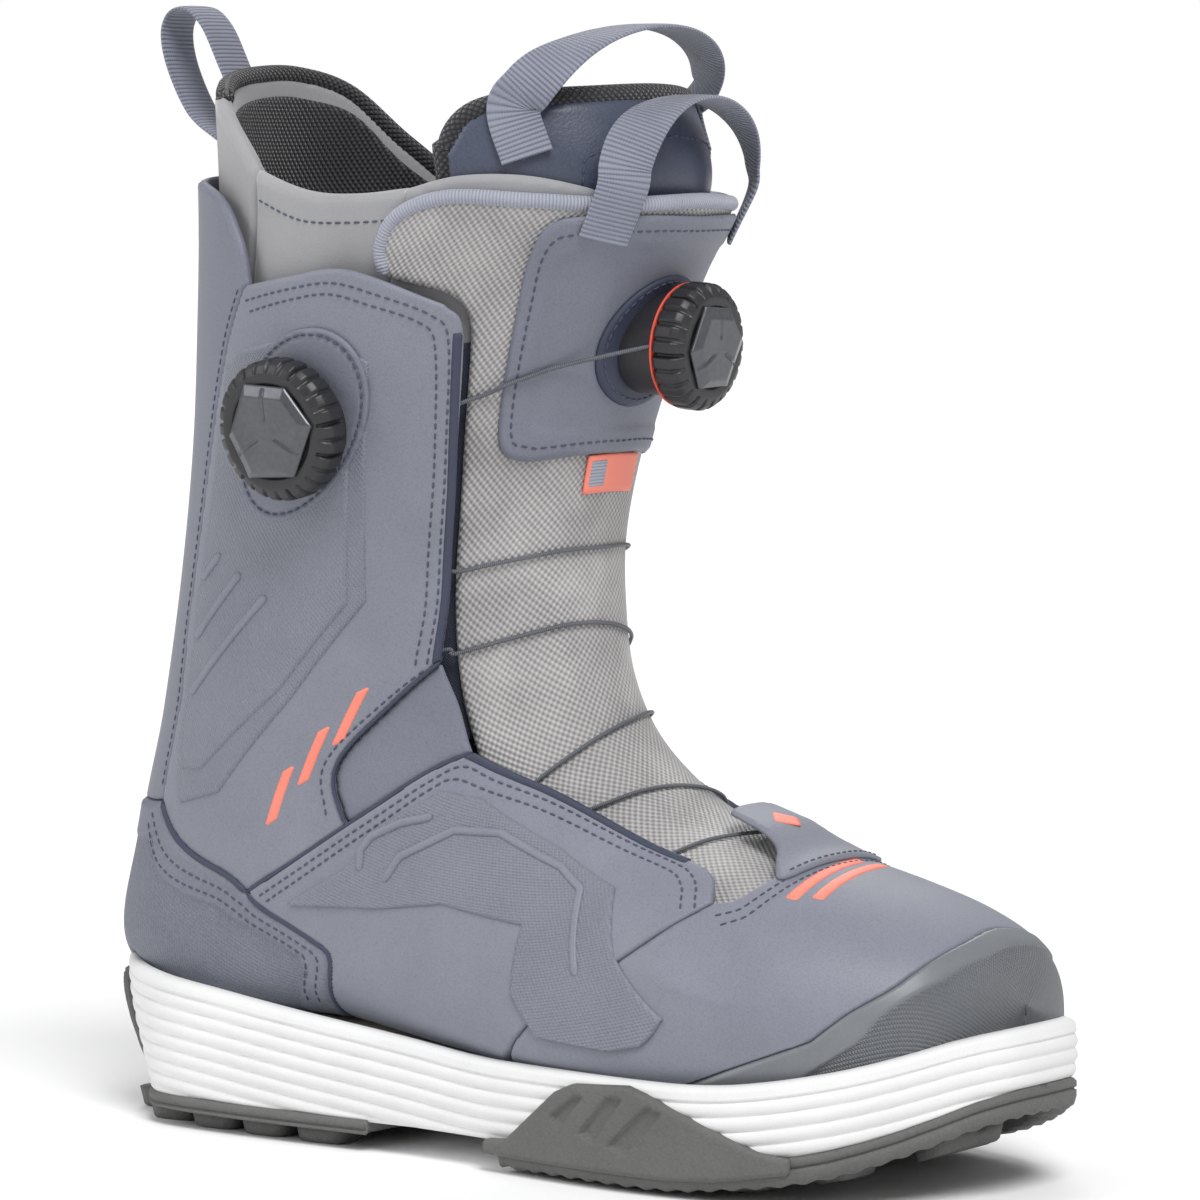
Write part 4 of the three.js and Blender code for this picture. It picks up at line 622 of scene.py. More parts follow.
@dataclass
class Panel:
    """A panel cut from a form: a closed outline, a thickness, rolled edges and worked reliefs.

    The panel is a fine grid in the form's two parameters. Grid points near the outline are pulled onto it,
    the triangles that cross it are cut where the signed distance is zero, and the two faces are joined
    round the rim.
    """

    name: str
    ring: np.ndarray
    top: DepthAt
    bottom: DepthAt
    finish: Finish
    cell: float = 1.3
    roll: float = 1.0
    reliefs: tuple[Relief, ...] = ()
    form: object = field(default_factory=lambda: FORM)

    def build(self) -> bpy.types.Object:
        """Makes the panel's mesh.

        Returns:
            The panel as a closed object.
        """
        flat, inside, triangles = self.cut()
        base = self.form.point(flat[:, 0], flat[:, 1], 0)
        lift, worked = np.zeros(len(flat)), np.zeros(len(flat))
        for relief in self.reliefs:
            up, share = relief.lift(self.form, flat, base)
            lift += up
            worked = np.maximum(worked, share)
        edge = np.clip(1 - inside / self.roll, 0, 1)
        drop = self.roll * (1 - np.sqrt(np.maximum(1 - edge ** 2, 0)))
        top = self.top(flat[:, 0], flat[:, 1])
        bottom = self.bottom(flat[:, 0], flat[:, 1])
        thick = np.maximum(top - bottom, 0.3)
        drop = np.minimum(drop, thick * 0.49)
        outer = self.form.point(flat[:, 0], flat[:, 1], top + lift - drop)
        inner = self.form.point(flat[:, 0], flat[:, 1], bottom + drop * (thick > 3.5))
        uv = self.measure(flat)
        n = len(flat)
        edges = np.vstack([triangles[:, [0, 1]], triangles[:, [1, 2]], triangles[:, [2, 0]]])
        code = edges[:, 0].astype(np.int64) * n + edges[:, 1]
        back = edges[:, 1].astype(np.int64) * n + edges[:, 0]
        rim = edges[~np.isin(code, back)]
        walls = np.stack([rim[:, 1], rim[:, 0], rim[:, 0] + n, rim[:, 1] + n], -1)
        return to_object(self.name, np.vstack([outer, inner]), [triangles, triangles[:, ::-1] + n, walls],
                         self.finish, np.vstack([uv, uv]), np.concatenate([worked, worked]))

    def measure(self, flat: np.ndarray) -> np.ndarray:
        """UV in millimetres: the length round the form at t, and the length along it at s, by summing steps."""
        t = np.linspace(0, 18, 91) if self.form is FORM else np.linspace(0, 1, 91)
        s = np.linspace(-1, 2, 121) if self.form is FORM else np.linspace(0, 60, 41)
        grid_t, grid_s = np.meshgrid(t, s, indexing="ij")
        at = self.form.point(grid_t, grid_s, 0)
        u = np.concatenate([np.zeros((len(t), 1)), np.cumsum(np.linalg.norm(np.diff(at, axis=1), axis=-1), 1)], 1)
        middle = np.argmin(np.abs(s))
        u = u - u[:, middle:middle + 1]
        v = np.concatenate([[0], np.cumsum(np.linalg.norm(np.diff(at[:, middle], axis=0), axis=-1))])
        ft = np.clip((flat[:, 0] - t[0]) / (t[1] - t[0]), 0, len(t) - 1.001)
        fs = np.clip((flat[:, 1] - s[0]) / (s[1] - s[0]), 0, len(s) - 1.001)
        i, j = ft.astype(int), fs.astype(int)
        a, b = ft - i, fs - j
        wide = (u[i, j] * (1 - a) * (1 - b) + u[i + 1, j] * a * (1 - b) + u[i, j + 1] * (1 - a) * b + u[i + 1,
            j + 1] * a * b)
        return np.stack([wide, np.interp(flat[:, 0], t, v)], -1)

    def cut(self) -> tuple[np.ndarray, np.ndarray, np.ndarray]:
        """Cuts the parameter grid along the outline.

        Returns:
            Places on the form, distances inside the outline and triangles.
        """
        low, high = self.ring.min(0), self.ring.max(0)
        probe = self.form.point(*np.meshgrid(np.linspace(low[0], high[0], 9), np.linspace(low[1], high[1], 9),
            indexing="ij"), 0)
        tall = np.linalg.norm(np.diff(probe, axis=0), axis=-1).sum(0).max()
        wide = np.linalg.norm(np.diff(probe, axis=1), axis=-1).sum(1).max()
        rows, columns = int(tall / self.cell) + 2, int(wide / self.cell) + 2
        t = np.linspace(low[0], high[0], rows)
        s = np.linspace(low[1], high[1], columns)
        flat = np.stack(np.meshgrid(t, s, indexing="ij"), -1).reshape(-1, 2)
        loop = np.vstack([self.ring, self.ring[:1]])
        line = self.form.point(loop[:, 0], loop[:, 1], 0)
        distance, which, where = segment_distance(self.form.point(flat[:, 0], flat[:, 1], 0), line)
        distance = np.where(holds(self.ring, flat), distance, -distance)
        near = np.abs(distance) < self.cell * 0.36
        on_ring = loop[which] + (loop[which + 1] - loop[which]) * where[:, None]
        flat = np.where(near[:, None], on_ring, flat)
        distance = np.where(near, 0, distance)
        i, j = np.meshgrid(np.arange(rows - 1), np.arange(columns - 1), indexing="ij")
        a, b = i * columns + j, (i + 1) * columns + j
        triangles = np.vstack([np.stack([a, b, b + 1], -1).reshape(-1, 3),
            np.stack([a, b + 1, a + 1], -1).reshape(-1, 3)])
        return cut_triangles(flat, distance, triangles)


def cut_triangles(flat: np.ndarray, distance: np.ndarray, triangles: np.ndarray) -> tuple[np.ndarray, np.ndarray,
    np.ndarray]:
    """Keeps the part of a triangle net where distance is positive, cutting edges where it passes zero.

    Args:
        flat: places of the net's points.
        distance: signed distances, 0 on the outline.
        triangles: the net.

    Returns:
        New places, their distances and triangles, unused points left out.
    """
    sign = np.sign(distance[triangles])
    plus, minus = (sign > 0).sum(1), (sign < 0).sum(1)
    kept = [triangles[(plus > 0) & (minus == 0)]]
    n = len(flat)
    pairs: list[np.ndarray] = []

    def crossing(a: np.ndarray, b: np.ndarray) -> np.ndarray:
        """Codes of the cut points on the edges a to b; the same edge gives the same code either way."""
        low, high = np.minimum(a, b).astype(np.int64), np.maximum(a, b).astype(np.int64)
        code = n + low * n + high
        pairs.append(code)
        return code

    for turn in range(3):
        p, q, r = (triangles[:, (turn + k) % 3] for k in range(3))
        sp, sq, sr = (sign[:, (turn + k) % 3] for k in range(3))
        one = (sp > 0) & (sq < 0) & (sr < 0)
        kept.append(np.stack([p[one], crossing(p[one], q[one]), crossing(p[one], r[one])], -1))
        two = (sp < 0) & (sq > 0) & (sr > 0)
        pq, pr = crossing(p[two], q[two]), crossing(p[two], r[two])
        kept.append(np.stack([pq, q[two], r[two]], -1))
        kept.append(np.stack([pq, r[two], pr], -1))
        left = (sp > 0) & (sq < 0) & (sr == 0)
        kept.append(np.stack([p[left], crossing(p[left], q[left]), r[left]], -1))
        right = (sp > 0) & (sq == 0) & (sr < 0)
        kept.append(np.stack([p[right], q[right], crossing(p[right], r[right])], -1))
    codes = np.unique(np.concatenate(pairs))
    low, high = (codes - n) // n, (codes - n) % n
    f = (distance[low] / (distance[low] - distance[high]))[:, None]
    extra = flat[low] * (1 - f) + flat[high] * f
    faces = np.vstack([block.astype(np.int64) for block in kept])
    faces = np.where(faces >= n, n + np.searchsorted(codes, np.maximum(faces, n)), faces)
    used, packed = np.unique(faces, return_inverse=True)
    places = np.vstack([flat, extra])[used]
    depths = np.maximum(np.concatenate([distance, np.zeros(len(extra))])[used], 0)
    return places, depths, packed.reshape(-1, 3)


def tube(name: str, line: np.ndarray, up: np.ndarray, radius: float, finish: Finish, sides: int = 10,
         flat: float = 1.0) -> bpy.types.Object:
    """A round or oval tube along a line: each ring is line + r (cos q across + flat sin q up).

    Args:
        name: the piece's name.
        line: the middle line.
        up: the outward direction at each point.
        radius: the radius across.
        finish: its material.
        sides: points a ring.
        flat: the height as a share of the width.

    Returns:
        The tube, with rounded closed ends.
    """
    ahead = np.gradient(line, axis=0)
    ahead /= np.linalg.norm(ahead, axis=1, keepdims=True)
    across = np.cross(ahead, up)
    across /= np.linalg.norm(across, axis=1, keepdims=True)
    high = np.cross(across, ahead)
    scale = np.ones(len(line))
    scale[[0, -1]] = 0.35
    angle = np.arange(sides) / sides * 2 * math.pi
    ring = (across[:, None] * np.cos(angle)[None, :, None] + high[:, None] * np.sin(angle)[None, :, None] * flat)
    points = (line[:, None] + ring * radius * scale[:, None, None]).reshape(-1, 3)
    run = np.concatenate([[0], np.cumsum(np.linalg.norm(np.diff(line, axis=0), axis=1))])
    uv = np.stack(np.broadcast_arrays(np.arange(sides)[None, :] * 2 * math.pi * radius / sides, run[:, None]),
        -1).reshape(-1, 2)
    n = len(points)
    ends = np.array([[n, (k + 1) % sides, k] for k in range(sides)] + [[n + 1, n - sides + k,
        n - sides + (k + 1) % sides] for k in range(sides)])
    points = np.vstack([points, line[:1], line[-1:]])
    uv = np.vstack([uv, uv[:1], uv[-1:]])
    return to_object(name, points, [grid_faces(len(line), sides, wrap=True), ends], finish, uv)


def on_form(path: Path, lift: float, spacing: float, depth: Optional[DepthAt] = None,
    smooth: bool = True) -> tuple[np.ndarray, np.ndarray]:
    """Points evenly spaced along a path on the boot form, and the form's normals there.

    Args:
        path: places (t, s).
        lift: millimetres out along the normal.
        spacing: millimetres between points.
        depth: the depth of the face the path lies on.
        smooth: whether the path is rounded between its places.

    Returns:
        Points and normals.
    """
    flat = catmull(np.asarray(path, float), 12) if smooth else np.vstack(
        [np.linspace(a, b, 12)[:-1] for a,
        b in zip(np.asarray(path)[:-1], np.asarray(path)[1:])] + [np.asarray(path)[-1:]])
    at = FORM.point(flat[:, 0], flat[:, 1], depth(flat[:, 0], flat[:, 1]) if depth else 0)
    length = np.linalg.norm(np.diff(at, axis=0), axis=1).sum()
    both = resample(np.hstack([at, flat]), max(int(length / spacing), 2) + 1)
    normal = FORM.normal(both[:, 3], both[:, 4])
    return both[:, :3] + normal * lift, normal


def stitches(name: str, paths: Sequence[Path], depth: DepthAt, finish: Finish, lift: float = 0.12,
             spacing: float = 2.7, length: float = 2.1, width: float = 0.62, smooth: bool = True) -> bpy.types.Object:
    """Rows of stitches: small lozenges along each path, all in one mesh.

    Each stitch is a six-sided spindle, its rings at -1, -0.6, 0, 0.6 and 1 of half its length.

    Args:
        name: the piece's name.
        paths: the rows.
        depth: depth of the face they are sewn into.
        finish: the thread.
        lift: how far the thread stands out.
        spacing: from stitch to stitch.
        length: of one stitch.
        width: of the thread.
        smooth: whether rows are rounded.

    Returns:
        The stitches.
    """
    stations = np.array([-1, -0.62, 0, 0.62, 1])
    sizes = np.array([0.15, 0.85, 1, 0.85, 0.15])
    angle = np.arange(6) / 6 * 2 * math.pi
    blocks, quads, uvs = [], [], []
    count = 0
    for path in paths:
        at, normal = on_form(path, lift, spacing, depth, smooth)
        ahead = np.gradient(at, axis=0)
        ahead /= np.linalg.norm(ahead, axis=1, keepdims=True)
        across = np.cross(normal, ahead)
        ring = (across[:, None, None] * np.cos(angle)[None, None, :, None] * width / 2
                + normal[:, None, None] * np.sin(angle)[None, None, :, None] * width * 0.34) * sizes[None, :, None,
                None]
        sink = -0.25 * (np.abs(stations) > 0.9)
        points = (at[:, None, None] + ring + ahead[:, None, None] * (stations * length / 2)[None, :, None, None]
                  + normal[:, None, None] * sink[None, :, None, None])
        faces = grid_faces(5, 6, wrap=True)
        caps = np.array([[0, 1, 2, 3], [0, 3, 4, 5], [27, 26, 25, 24], [29, 28, 27, 24]])
        each = np.vstack([faces, caps])
        quads.append((each[None] + (count + np.arange(len(at)) * 30)[:, None, None]).reshape(-1, 4))
        blocks.append(points.reshape(-1, 3))
        uvs.append(np.tile(np.stack([np.tile(np.arange(6), 5), np.repeat(stations * length / 2, 6)], -1), (len(at), 1)))
        count += len(at) * 30
    return to_object(name, np.vstack(blocks), [np.vstack(quads)], finish, np.vstack(uvs))


def strap(name: str, line: np.ndarray, across: np.ndarray, width: float, thickness: float,
    finish: Finish) -> bpy.types.Object:
    """A flat webbing strap along a line: a rounded oblong carried along it, its width along across.

    The section is the superellipse |x / a|^3.2 + |y / b|^3.2 = 1.

    Args:
        name: the piece's name.
        line: the middle line.
        across: the direction of its width at each point.
        width: of the strap.
        thickness: of the strap.
        finish: its material.

    Returns:
        The strap, with closed ends.
    """
    ahead = np.gradient(line, axis=0)
    ahead /= np.linalg.norm(ahead, axis=1, keepdims=True)
    wide = across - ahead * (across * ahead).sum(1, keepdims=True)
    wide /= np.linalg.norm(wide, axis=1, keepdims=True)
    high = np.cross(ahead, wide)
    sides = 28
    angle = (np.arange(sides) + 0.5) / sides * 2 * math.pi
    reach = (np.abs(np.cos(angle)) ** 3.2 + np.abs(np.sin(angle)) ** 3.2) ** (-1 / 3.2)
    x, y = np.cos(angle) * reach * width / 2, np.sin(angle) * reach * thickness / 2
    points = (line[:, None] + wide[:, None] * x[None, :, None] + high[:, None] * y[None, :, None]).reshape(-1, 3)
    run = np.concatenate([[0], np.cumsum(np.linalg.norm(np.diff(line, axis=0), axis=1))])
    uv = np.stack(np.broadcast_arrays(x[None, :], run[:, None]), -1).reshape(-1, 2)
    n = len(points)
    ends = np.array([[n, (k + 1) % sides, k] for k in range(sides)] + [[n + 1, n - sides + k,
        n - sides + (k + 1) % sides] for k in range(sides)])
    return to_object(name, np.vstack([points, line[:1], line[-1:]]), [grid_faces(len(line), sides, wrap=True), ends],
                     finish, np.vstack([uv, uv[:1], uv[-1:]]))


@dataclass(frozen=True)
class DialFrame:
    """Where a dial sits: its middle on the boot and its axis, in millimetres."""

    origin: tuple[float, float, float]
    axis: tuple[float, float, float]

    def basis(self) -> np.ndarray:
        """Rows: sideways, up and out."""
        out = np.array(self.axis) / np.linalg.norm(self.axis)
        side = np.cross([0, 0, 1], out)
        side /= np.linalg.norm(side)
        return np.array([side, np.cross(out, side), out])

    def place(self, local: np.ndarray) -> np.ndarray:
        """Points given in the dial's frame, put on the boot."""
        return np.asarray(local) @ self.basis() + np.array(self.origin)


def spun(name: str, profile: np.ndarray, where: DialFrame, finish: Finish, segments: int = 96, closed: bool = True,
         ripple: Optional[Callable[[np.ndarray, np.ndarray], np.ndarray]] = None) -> bpy.types.Object:
    """A turned piece: a profile (radius, height) carried round the dial's axis, its radius rippled if asked.

    Args:
        name: the piece's name.
        profile: points of the profile.
        where: the dial's frame.
        finish: its material.
        segments: steps round.
        closed: whether the profile joins up with itself; else its ends lie on the axis.
        ripple: gives the change of radius from the angle and the profile's place 0 to 1.

    Returns:
        The turned piece.
    """
    angle = np.arange(segments) / segments * 2 * math.pi
    share = np.linspace(0, 1, len(profile))
    radius = np.broadcast_to(profile[:, 0][:, None], (len(profile), segments)).copy()
    if ripple:
        radius += ripple(np.broadcast_to(angle[None], radius.shape), np.broadcast_to(share[:, None], radius.shape))
    local = np.stack([radius * np.cos(angle), radius * np.sin(angle),
        np.broadcast_to(profile[:, 1][:, None], radius.shape)], -1)
    faces = [grid_faces(len(profile), segments, wrap=True)]
    points = local.reshape(-1, 3)
    if closed:
        last = (len(profile) - 1) * segments
        k = np.arange(segments)
        faces.append(np.stack([last + k, k, (k + 1) % segments, last + (k + 1) % segments], -1))
    else:
        n = len(points)
        k = np.arange(segments)
        last = (len(profile) - 1) * segments
        faces.append(np.stack([np.full(segments, n), (k + 1) % segments, k], -1))
        faces.append(np.stack([np.full(segments, n + 1), last + k, last + (k + 1) % segments], -1))
        points = np.vstack([points, [[0, 0, profile[0, 1]]], [[0, 0, profile[-1, 1]]]])
    return to_object(name, where.place(points), faces, finish, points[:, :2])


def rounded(profile: Path, radius: float, steps: int = 4) -> np.ndarray:
    """A closed profile with its corners rounded by short parabolas through each corner's neighbours.

    Args:
        profile: the corners.
        radius: how far from each corner the rounding starts.
        steps: points of each rounding.

    Returns:
        The rounded profile.
    """
    p = np.asarray(profile, float)
    before, after = np.roll(p, 1, 0) - p, np.roll(p, -1, 0) - p
    lb, la = np.linalg.norm(before, axis=1, keepdims=True), np.linalg.norm(after, axis=1, keepdims=True)
    start = p + before / lb * np.minimum(radius, lb * 0.45)
    end = p + after / la * np.minimum(radius, la * 0.45)
    f = np.linspace(0, 1, steps)[None, :, None]
    arc = (1 - f) ** 2 * start[:, None] + 2 * f * (1 - f) * p[:, None] + f ** 2 * end[:, None]
    return arc.reshape(-1, 2)


# ------------------------------------------------------------------ seams of the upper, outer side, as (t, s)
FEATHER = 0.82
SHIELD_LIFT = 2.1
WEBBING_WIDTH = 14.0
WEBBING_THICKNESS = 1.5
HEEL_SEAM = ((11.12, 0.72), (10.74, 0.69), (10.06, 0.625), (9.69, 0.613))
HEEL_FRONT = ((9.69, 0.613), (9.45, 0.617), (8.74, 0.617), (8.43, 0.64), (8.13, 0.75), (8.0, FEATHER))
BACK_SEAM = ((11.12, 0.72), (11.9, 0.71), (12.7, 0.715), (14.0, 0.69), (14.76, 0.66), (15.25, 0.63))
CUFF_TOP = ((15.25, 0.63), (15.3, 0.55), (15.33, 0.49), (15.2, 0.43), (14.9, 0.34))
CUFF_FRONT = ((14.9, 0.34), (14.6, 0.31), (13.4, 0.293), (12.5, 0.285), (11.7, 0.285), (10.98, 0.3))
NOTCH = ((10.98, 0.3), (10.74, 0.365), (10.4, 0.44), (9.83, 0.455), (9.66, 0.457))
QUARTER_REAR = ((9.66, 0.457), (9.66, 0.53), (9.69, 0.613))
QUARTER_MIDDLE = ((9.62, 0.292), (9.69, 0.35), (9.66, 0.42), (9.66, 0.457))
INSERT_FRONT = ((10.98, 0.3), (10.3, 0.288), (9.62, 0.292))
QUARTER_FRONT = ((5.4, 0.245), (5.7, 0.2), (6.2, 0.188), (7.4, 0.203), (8.4, 0.23), (9.2, 0.27), (9.62, 0.292))
VAMP_SEAM = ((6.4, FEATHER), (6.4, 0.7), (6.3, 0.55), (5.9, 0.4), (5.4, 0.245))
THROAT = ((5.4, 0.245), (5.15, 0.2), (5.08, 0.0), (5.15, -0.2), (5.4, -0.245))
TOE_SEAM = ((2.0, 0.0), (1.95, 0.15), (2.4, 0.33), (3.1, 0.44), (3.7, 0.54), (4.35, 0.66), (4.85, 0.76), (5.0, FEATHER))


def back(path: Path) -> Path:
    """The same path run the other way."""
    return tuple(path)[::-1]


def mirror(path: Path) -> Path:
    """The same path on the other side of the boot."""
    return tuple((t, -s) for t, s in path)


def around(path: Path) -> Path:
    """The same path on the other side, its s counted on past the back line."""
    return tuple((t, 2 - s) for t, s in path)


def straight(*places: Pair) -> np.ndarray:
    """A seam of straight runs, with points close enough together to follow the form."""
    p = np.asarray(places, float)
    return np.vstack([np.linspace(a, b, 14)[:-1] for a, b in zip(p[:-1], p[1:])] + [p[-1:]])


def ring_of(*seams: object) -> np.ndarray:
    """A closed outline from seams that run on from each other; each seam is smoothed, its ends kept."""
    runs = [seam if isinstance(seam, np.ndarray) else catmull(np.asarray(seam, float), 6) for seam in seams]
    ring = np.vstack([run[:-1] for run in runs])
    keep = np.linalg.norm(ring - np.roll(ring, 1, 0), axis=1) > 1e-6
    return ring[keep]


def level(value: float) -> DepthAt:
    """A depth that is the same everywhere."""
    return lambda t, s: np.full(np.shape(t), value, float)


def tongue_depth(t: np.ndarray, s: np.ndarray) -> np.ndarray:
    """Depth of the tongue's outer face: -3.4 in the middle, -4.8 under the shell's edges."""
    side = np.clip((np.abs(s) - 0.12) / 0.06, 0, 1)
    return -(3.4 + 1.4 * side)


def raised(depth: DepthAt, amount: float) -> DepthAt:
    """A depth moved out by an amount."""
    return lambda t, s: depth(t, s) + amount


@dataclass
class ShellUpper:
    """The outer shell: toe cap, vamp, quarters, ankle inserts, cuffs, heel counter and backstay."""

    thickness: float = 2.6
    overlay: float = 0.8
    cell: float = 1.05

    def flare(self, t: np.ndarray, s: np.ndarray) -> np.ndarray:
        """How far the heel counter swells over the sole: 8 mm at its lower edge, dying away 20 mm above it."""
        side = np.where(s > 1, 2 - s, np.abs(s))
        away = np.hypot(np.maximum(t - 10, 0) / 1.25, np.maximum(FEATHER - side, 0) / 0.2)
        return 8.0 * smoothstep(1 - away) * smoothstep((t - 7.9) / 1.2)

    def panel(self, name: str, ring: np.ndarray, lift: float, finish: Finish, *reliefs: Relief,
        roll: float = 0.9) -> bpy.types.Object:
        """Makes one shell panel that stands for the CAD node of its name.

        Args:
            name: the CAD node.
            ring: its outline.
            lift: how far its face stands out.
            finish: its material.
            reliefs: shapes worked into it.
            roll: radius of its rolled edge.

        Returns:
            The panel.
        """
        swell = self.flare if name == "heel_counter" else level(0)
        piece = Panel(name + "_panel", ring, lambda t, s: lift + swell(t, s), level(-self.thickness), finish,
            self.cell, roll, tuple(reliefs)).build()
        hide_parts(name)
        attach(piece, "boot")
        LOG.info("shell panel %s", name)
        return piece

    def build(self) -> None:
        """Builds every panel of the shell."""
        self.toe()
        self.sides()
        self.rear()
        self.trims()
        self.sewing()

    def toe(self) -> None:
        """The rubber toe cap, with a smooth band and a dotted field, and the vamp."""
        field_edge = ((4.15, 0.82), (3.85, 0.76), (3.2, 0.600), (2.55, 0.43), (1.75, 0.30), (1.3, 0.15), (1.25, 0.0))
        dots = (*field_edge, *mirror(back(field_edge))[1:], (0.02, -0.97), (0.02, 0.97))
        cap = ring_of(straight((0.0, -0.995), (0.4, -0.97), (1.3, -FEATHER), (5.0, -FEATHER)), back(mirror(TOE_SEAM)),
            TOE_SEAM,
                      straight((5.0, FEATHER), (1.3, FEATHER), (0.4, 0.97), (0.0, 0.995)),
                      straight((0.0, 0.995), (0.0, -0.995)))
        self.panel("toe_cap", cap, 1.2, TOE, Relief(dots, -1.0, soft=1.2, closed=True, worked=True), roll=1.1)
        vamp = ring_of(TOE_SEAM, straight((5.0, FEATHER), (6.4, FEATHER)), VAMP_SEAM, THROAT, back(mirror(VAMP_SEAM)),
                       straight((6.4, -FEATHER), (5.0, -FEATHER)), back(mirror(TOE_SEAM)))
        crease = ((5.9, 0.215), (5.58, 0.30), (5.6, 0.37), (5.25, 0.40), (4.5, 0.42))
        self.panel("vamp", vamp, 0.45, SHELL, Relief(crease, 0.35, 0.5, 2.4, smooth=True),
                   Relief(mirror(crease), 0.35, 0.5, 2.4, smooth=True))

    def sides(self) -> None:
        """Quarters, ankle inserts and cuffs of both sides, with their embossing."""
        plate = ((9.3, 0.593), (9.21, 0.492), (9.42, 0.425), (9.35, 0.345), (8.94, 0.312), (7.65, 0.285),
            (6.63, 0.288), (5.95, 0.385),
                 (5.07, 0.468), (5.17, 0.558), (5.44, 0.603), (6.19, 0.613), (7.17, 0.403), (8.06, 0.443))
        bars = (((9.08, 0.478), (9.28, 0.46), (9.35, 0.44), (9.28, 0.403), (9.11, 0.37)),
                ((8.77, 0.465), (8.91, 0.43), (8.77, 0.36), (8.36, 0.323), (7.41, 0.305), (6.97, 0.315), (6.19, 0.433)))
        outer = ((14.6, 0.655), (14.69, 0.63), (14.76, 0.498), (14.42, 0.423), (13.26, 0.41), (12.0, 0.393),
            (11.36, 0.49), (10.84, 0.60), (10.98, 0.672), (11.6, 0.69), (12.7, 0.69), (13.8, 0.672))
        inner = ((14.42, 0.645), (14.45, 0.62), (14.62, 0.5), (14.35, 0.446), (13.29, 0.433), (12.05, 0.418),
            (11.5, 0.505), (11.16, 0.625), (11.28, 0.668), (11.7, 0.68), (12.7, 0.68), (13.7, 0.662))
        ribs = (((12.84, 0.672), (12.99, 0.635)), ((12.36, 0.672), (12.75, 0.59)), ((11.9, 0.668), (12.45, 0.54)))
        for side, turned in (("lateral", lambda path: path), ("medial", mirror)):
            quarter = ring_of(turned(VAMP_SEAM), turned(QUARTER_FRONT), turned(QUARTER_MIDDLE), turned(QUARTER_REAR),
                turned(HEEL_FRONT),
                              straight(turned(((8.0, FEATHER),))[0], turned(((6.4, FEATHER),))[0]))
            self.panel(f"quarter_{side}", quarter, self.overlay, SHELL)
            self.moulding(f"quarter_plate_{side}", turned(plate), self.overlay, 0.75)
            self.ridges(f"quarter_bars_{side}", [turned(bar) for bar in bars], self.overlay + 0.75)
            insert = ring_of(turned(INSERT_FRONT), turned(QUARTER_MIDDLE), back(turned(NOTCH)))
            self.panel(f"ankle_insert_{side}", insert, -0.5, SHELL_LOW)
            cuff = ring_of(turned(CUFF_FRONT), turned(NOTCH), turned(QUARTER_REAR), back(turned(HEEL_SEAM)),
                turned(BACK_SEAM), turned(CUFF_TOP))
            self.panel(f"cuff_{side}", cuff, 0.3, SHELL)
            self.moulding(f"cuff_band_{side}", turned(outer), 0.3, 0.6)
            self.moulding(f"cuff_field_{side}", turned(inner), 0.9, 0.5)
            self.ridges(f"cuff_ribs_{side}", [turned(rib) for rib in ribs], 1.4)

    def moulding(self, name: str, path: Path, lift: float, height: float) -> None:
        """A crisp raised field on a panel, with the fine moulded texture.

        Args:
            name: the piece's name.
            path: its corners.
            lift: depth of the face it stands on.
            height: how far it stands out.
        """
        ring = straight(*path, path[0])[:-1]
        piece = Panel(name, ring, level(lift + height), level(lift - 0.5), SHELL, 0.9, 0.55,
            (Relief(path, 0.0, soft=1.0, closed=True, worked=True),)).build()
        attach(piece, "boot")

    def ridges(self, name: str, paths: Sequence[Path], lift: float) -> None:
        """Narrow raised ribs along paths.

        Args:
            name: the pieces' name.
            paths: their middle lines.
            lift: depth of the face they stand on.
        """
        for number, path in enumerate(paths):
            line, up = on_form(path, 0.0, 1.0, level(lift), False)
            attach(tube(f"{name}_{number}", line, up, 1.15, SHELL, 12, 0.65), "boot")

    def rear(self) -> None:
        """The rubberised heel counter with its smooth border, and the backstay up to the collar."""
        arch = ((11.12, 0.72), (11.35, 0.85), (11.45, 1.0), (11.35, 1.15), (11.12, 1.28))
        field = ((10.85, 0.735), (10.55, 0.72), (9.8, 0.655), (9.4, 0.65), (8.75, 0.65), (8.5, 0.68), (8.3, 0.82),
            (9.9, 0.9), (9.9, 1.1),
                 (8.3, 1.18), (8.5, 1.32), (8.75, 1.35), (9.4, 1.35), (9.8, 1.345), (10.55, 1.28), (10.85, 1.265),
                 (11.1, 1.15), (11.15, 1.0), (11.1, 0.85))
        counter = ring_of(back(HEEL_FRONT), back(HEEL_SEAM), arch, around(HEEL_SEAM), around(HEEL_FRONT),
                          straight((8.0, 2 - FEATHER), (10.0, 2 - FEATHER), (10.0, FEATHER), (8.0, FEATHER)))
        self.panel("heel_counter", counter, 1.1, HEEL, Relief(field, -0.55, soft=1.3, closed=True, worked=True),
            roll=1.1)
        collar = ((15.25, 0.63), (15.7, 0.66), (16.1, 0.72), (16.25, 0.85), (16.3, 1.0), (16.25, 1.15), (16.1, 1.28),
            (15.7, 1.34), (15.25, 1.37))
        stay = ring_of(back(arch), BACK_SEAM, collar, back(around(BACK_SEAM)))
        self.panel("backstay", stay, -0.1, SHELL_LOW, roll=1.2)
        board = Panel("lasting_board_panel",
            ring_of(straight((0.6, FEATHER), (10, FEATHER), (10, 2 - FEATHER), (0.6, 2 - FEATHER), (0.6, FEATHER))),
                      level(0), level(-self.thickness), BOARD, 3.0, 0.8).build()
        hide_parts("lasting_board")
        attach(board, "boot")

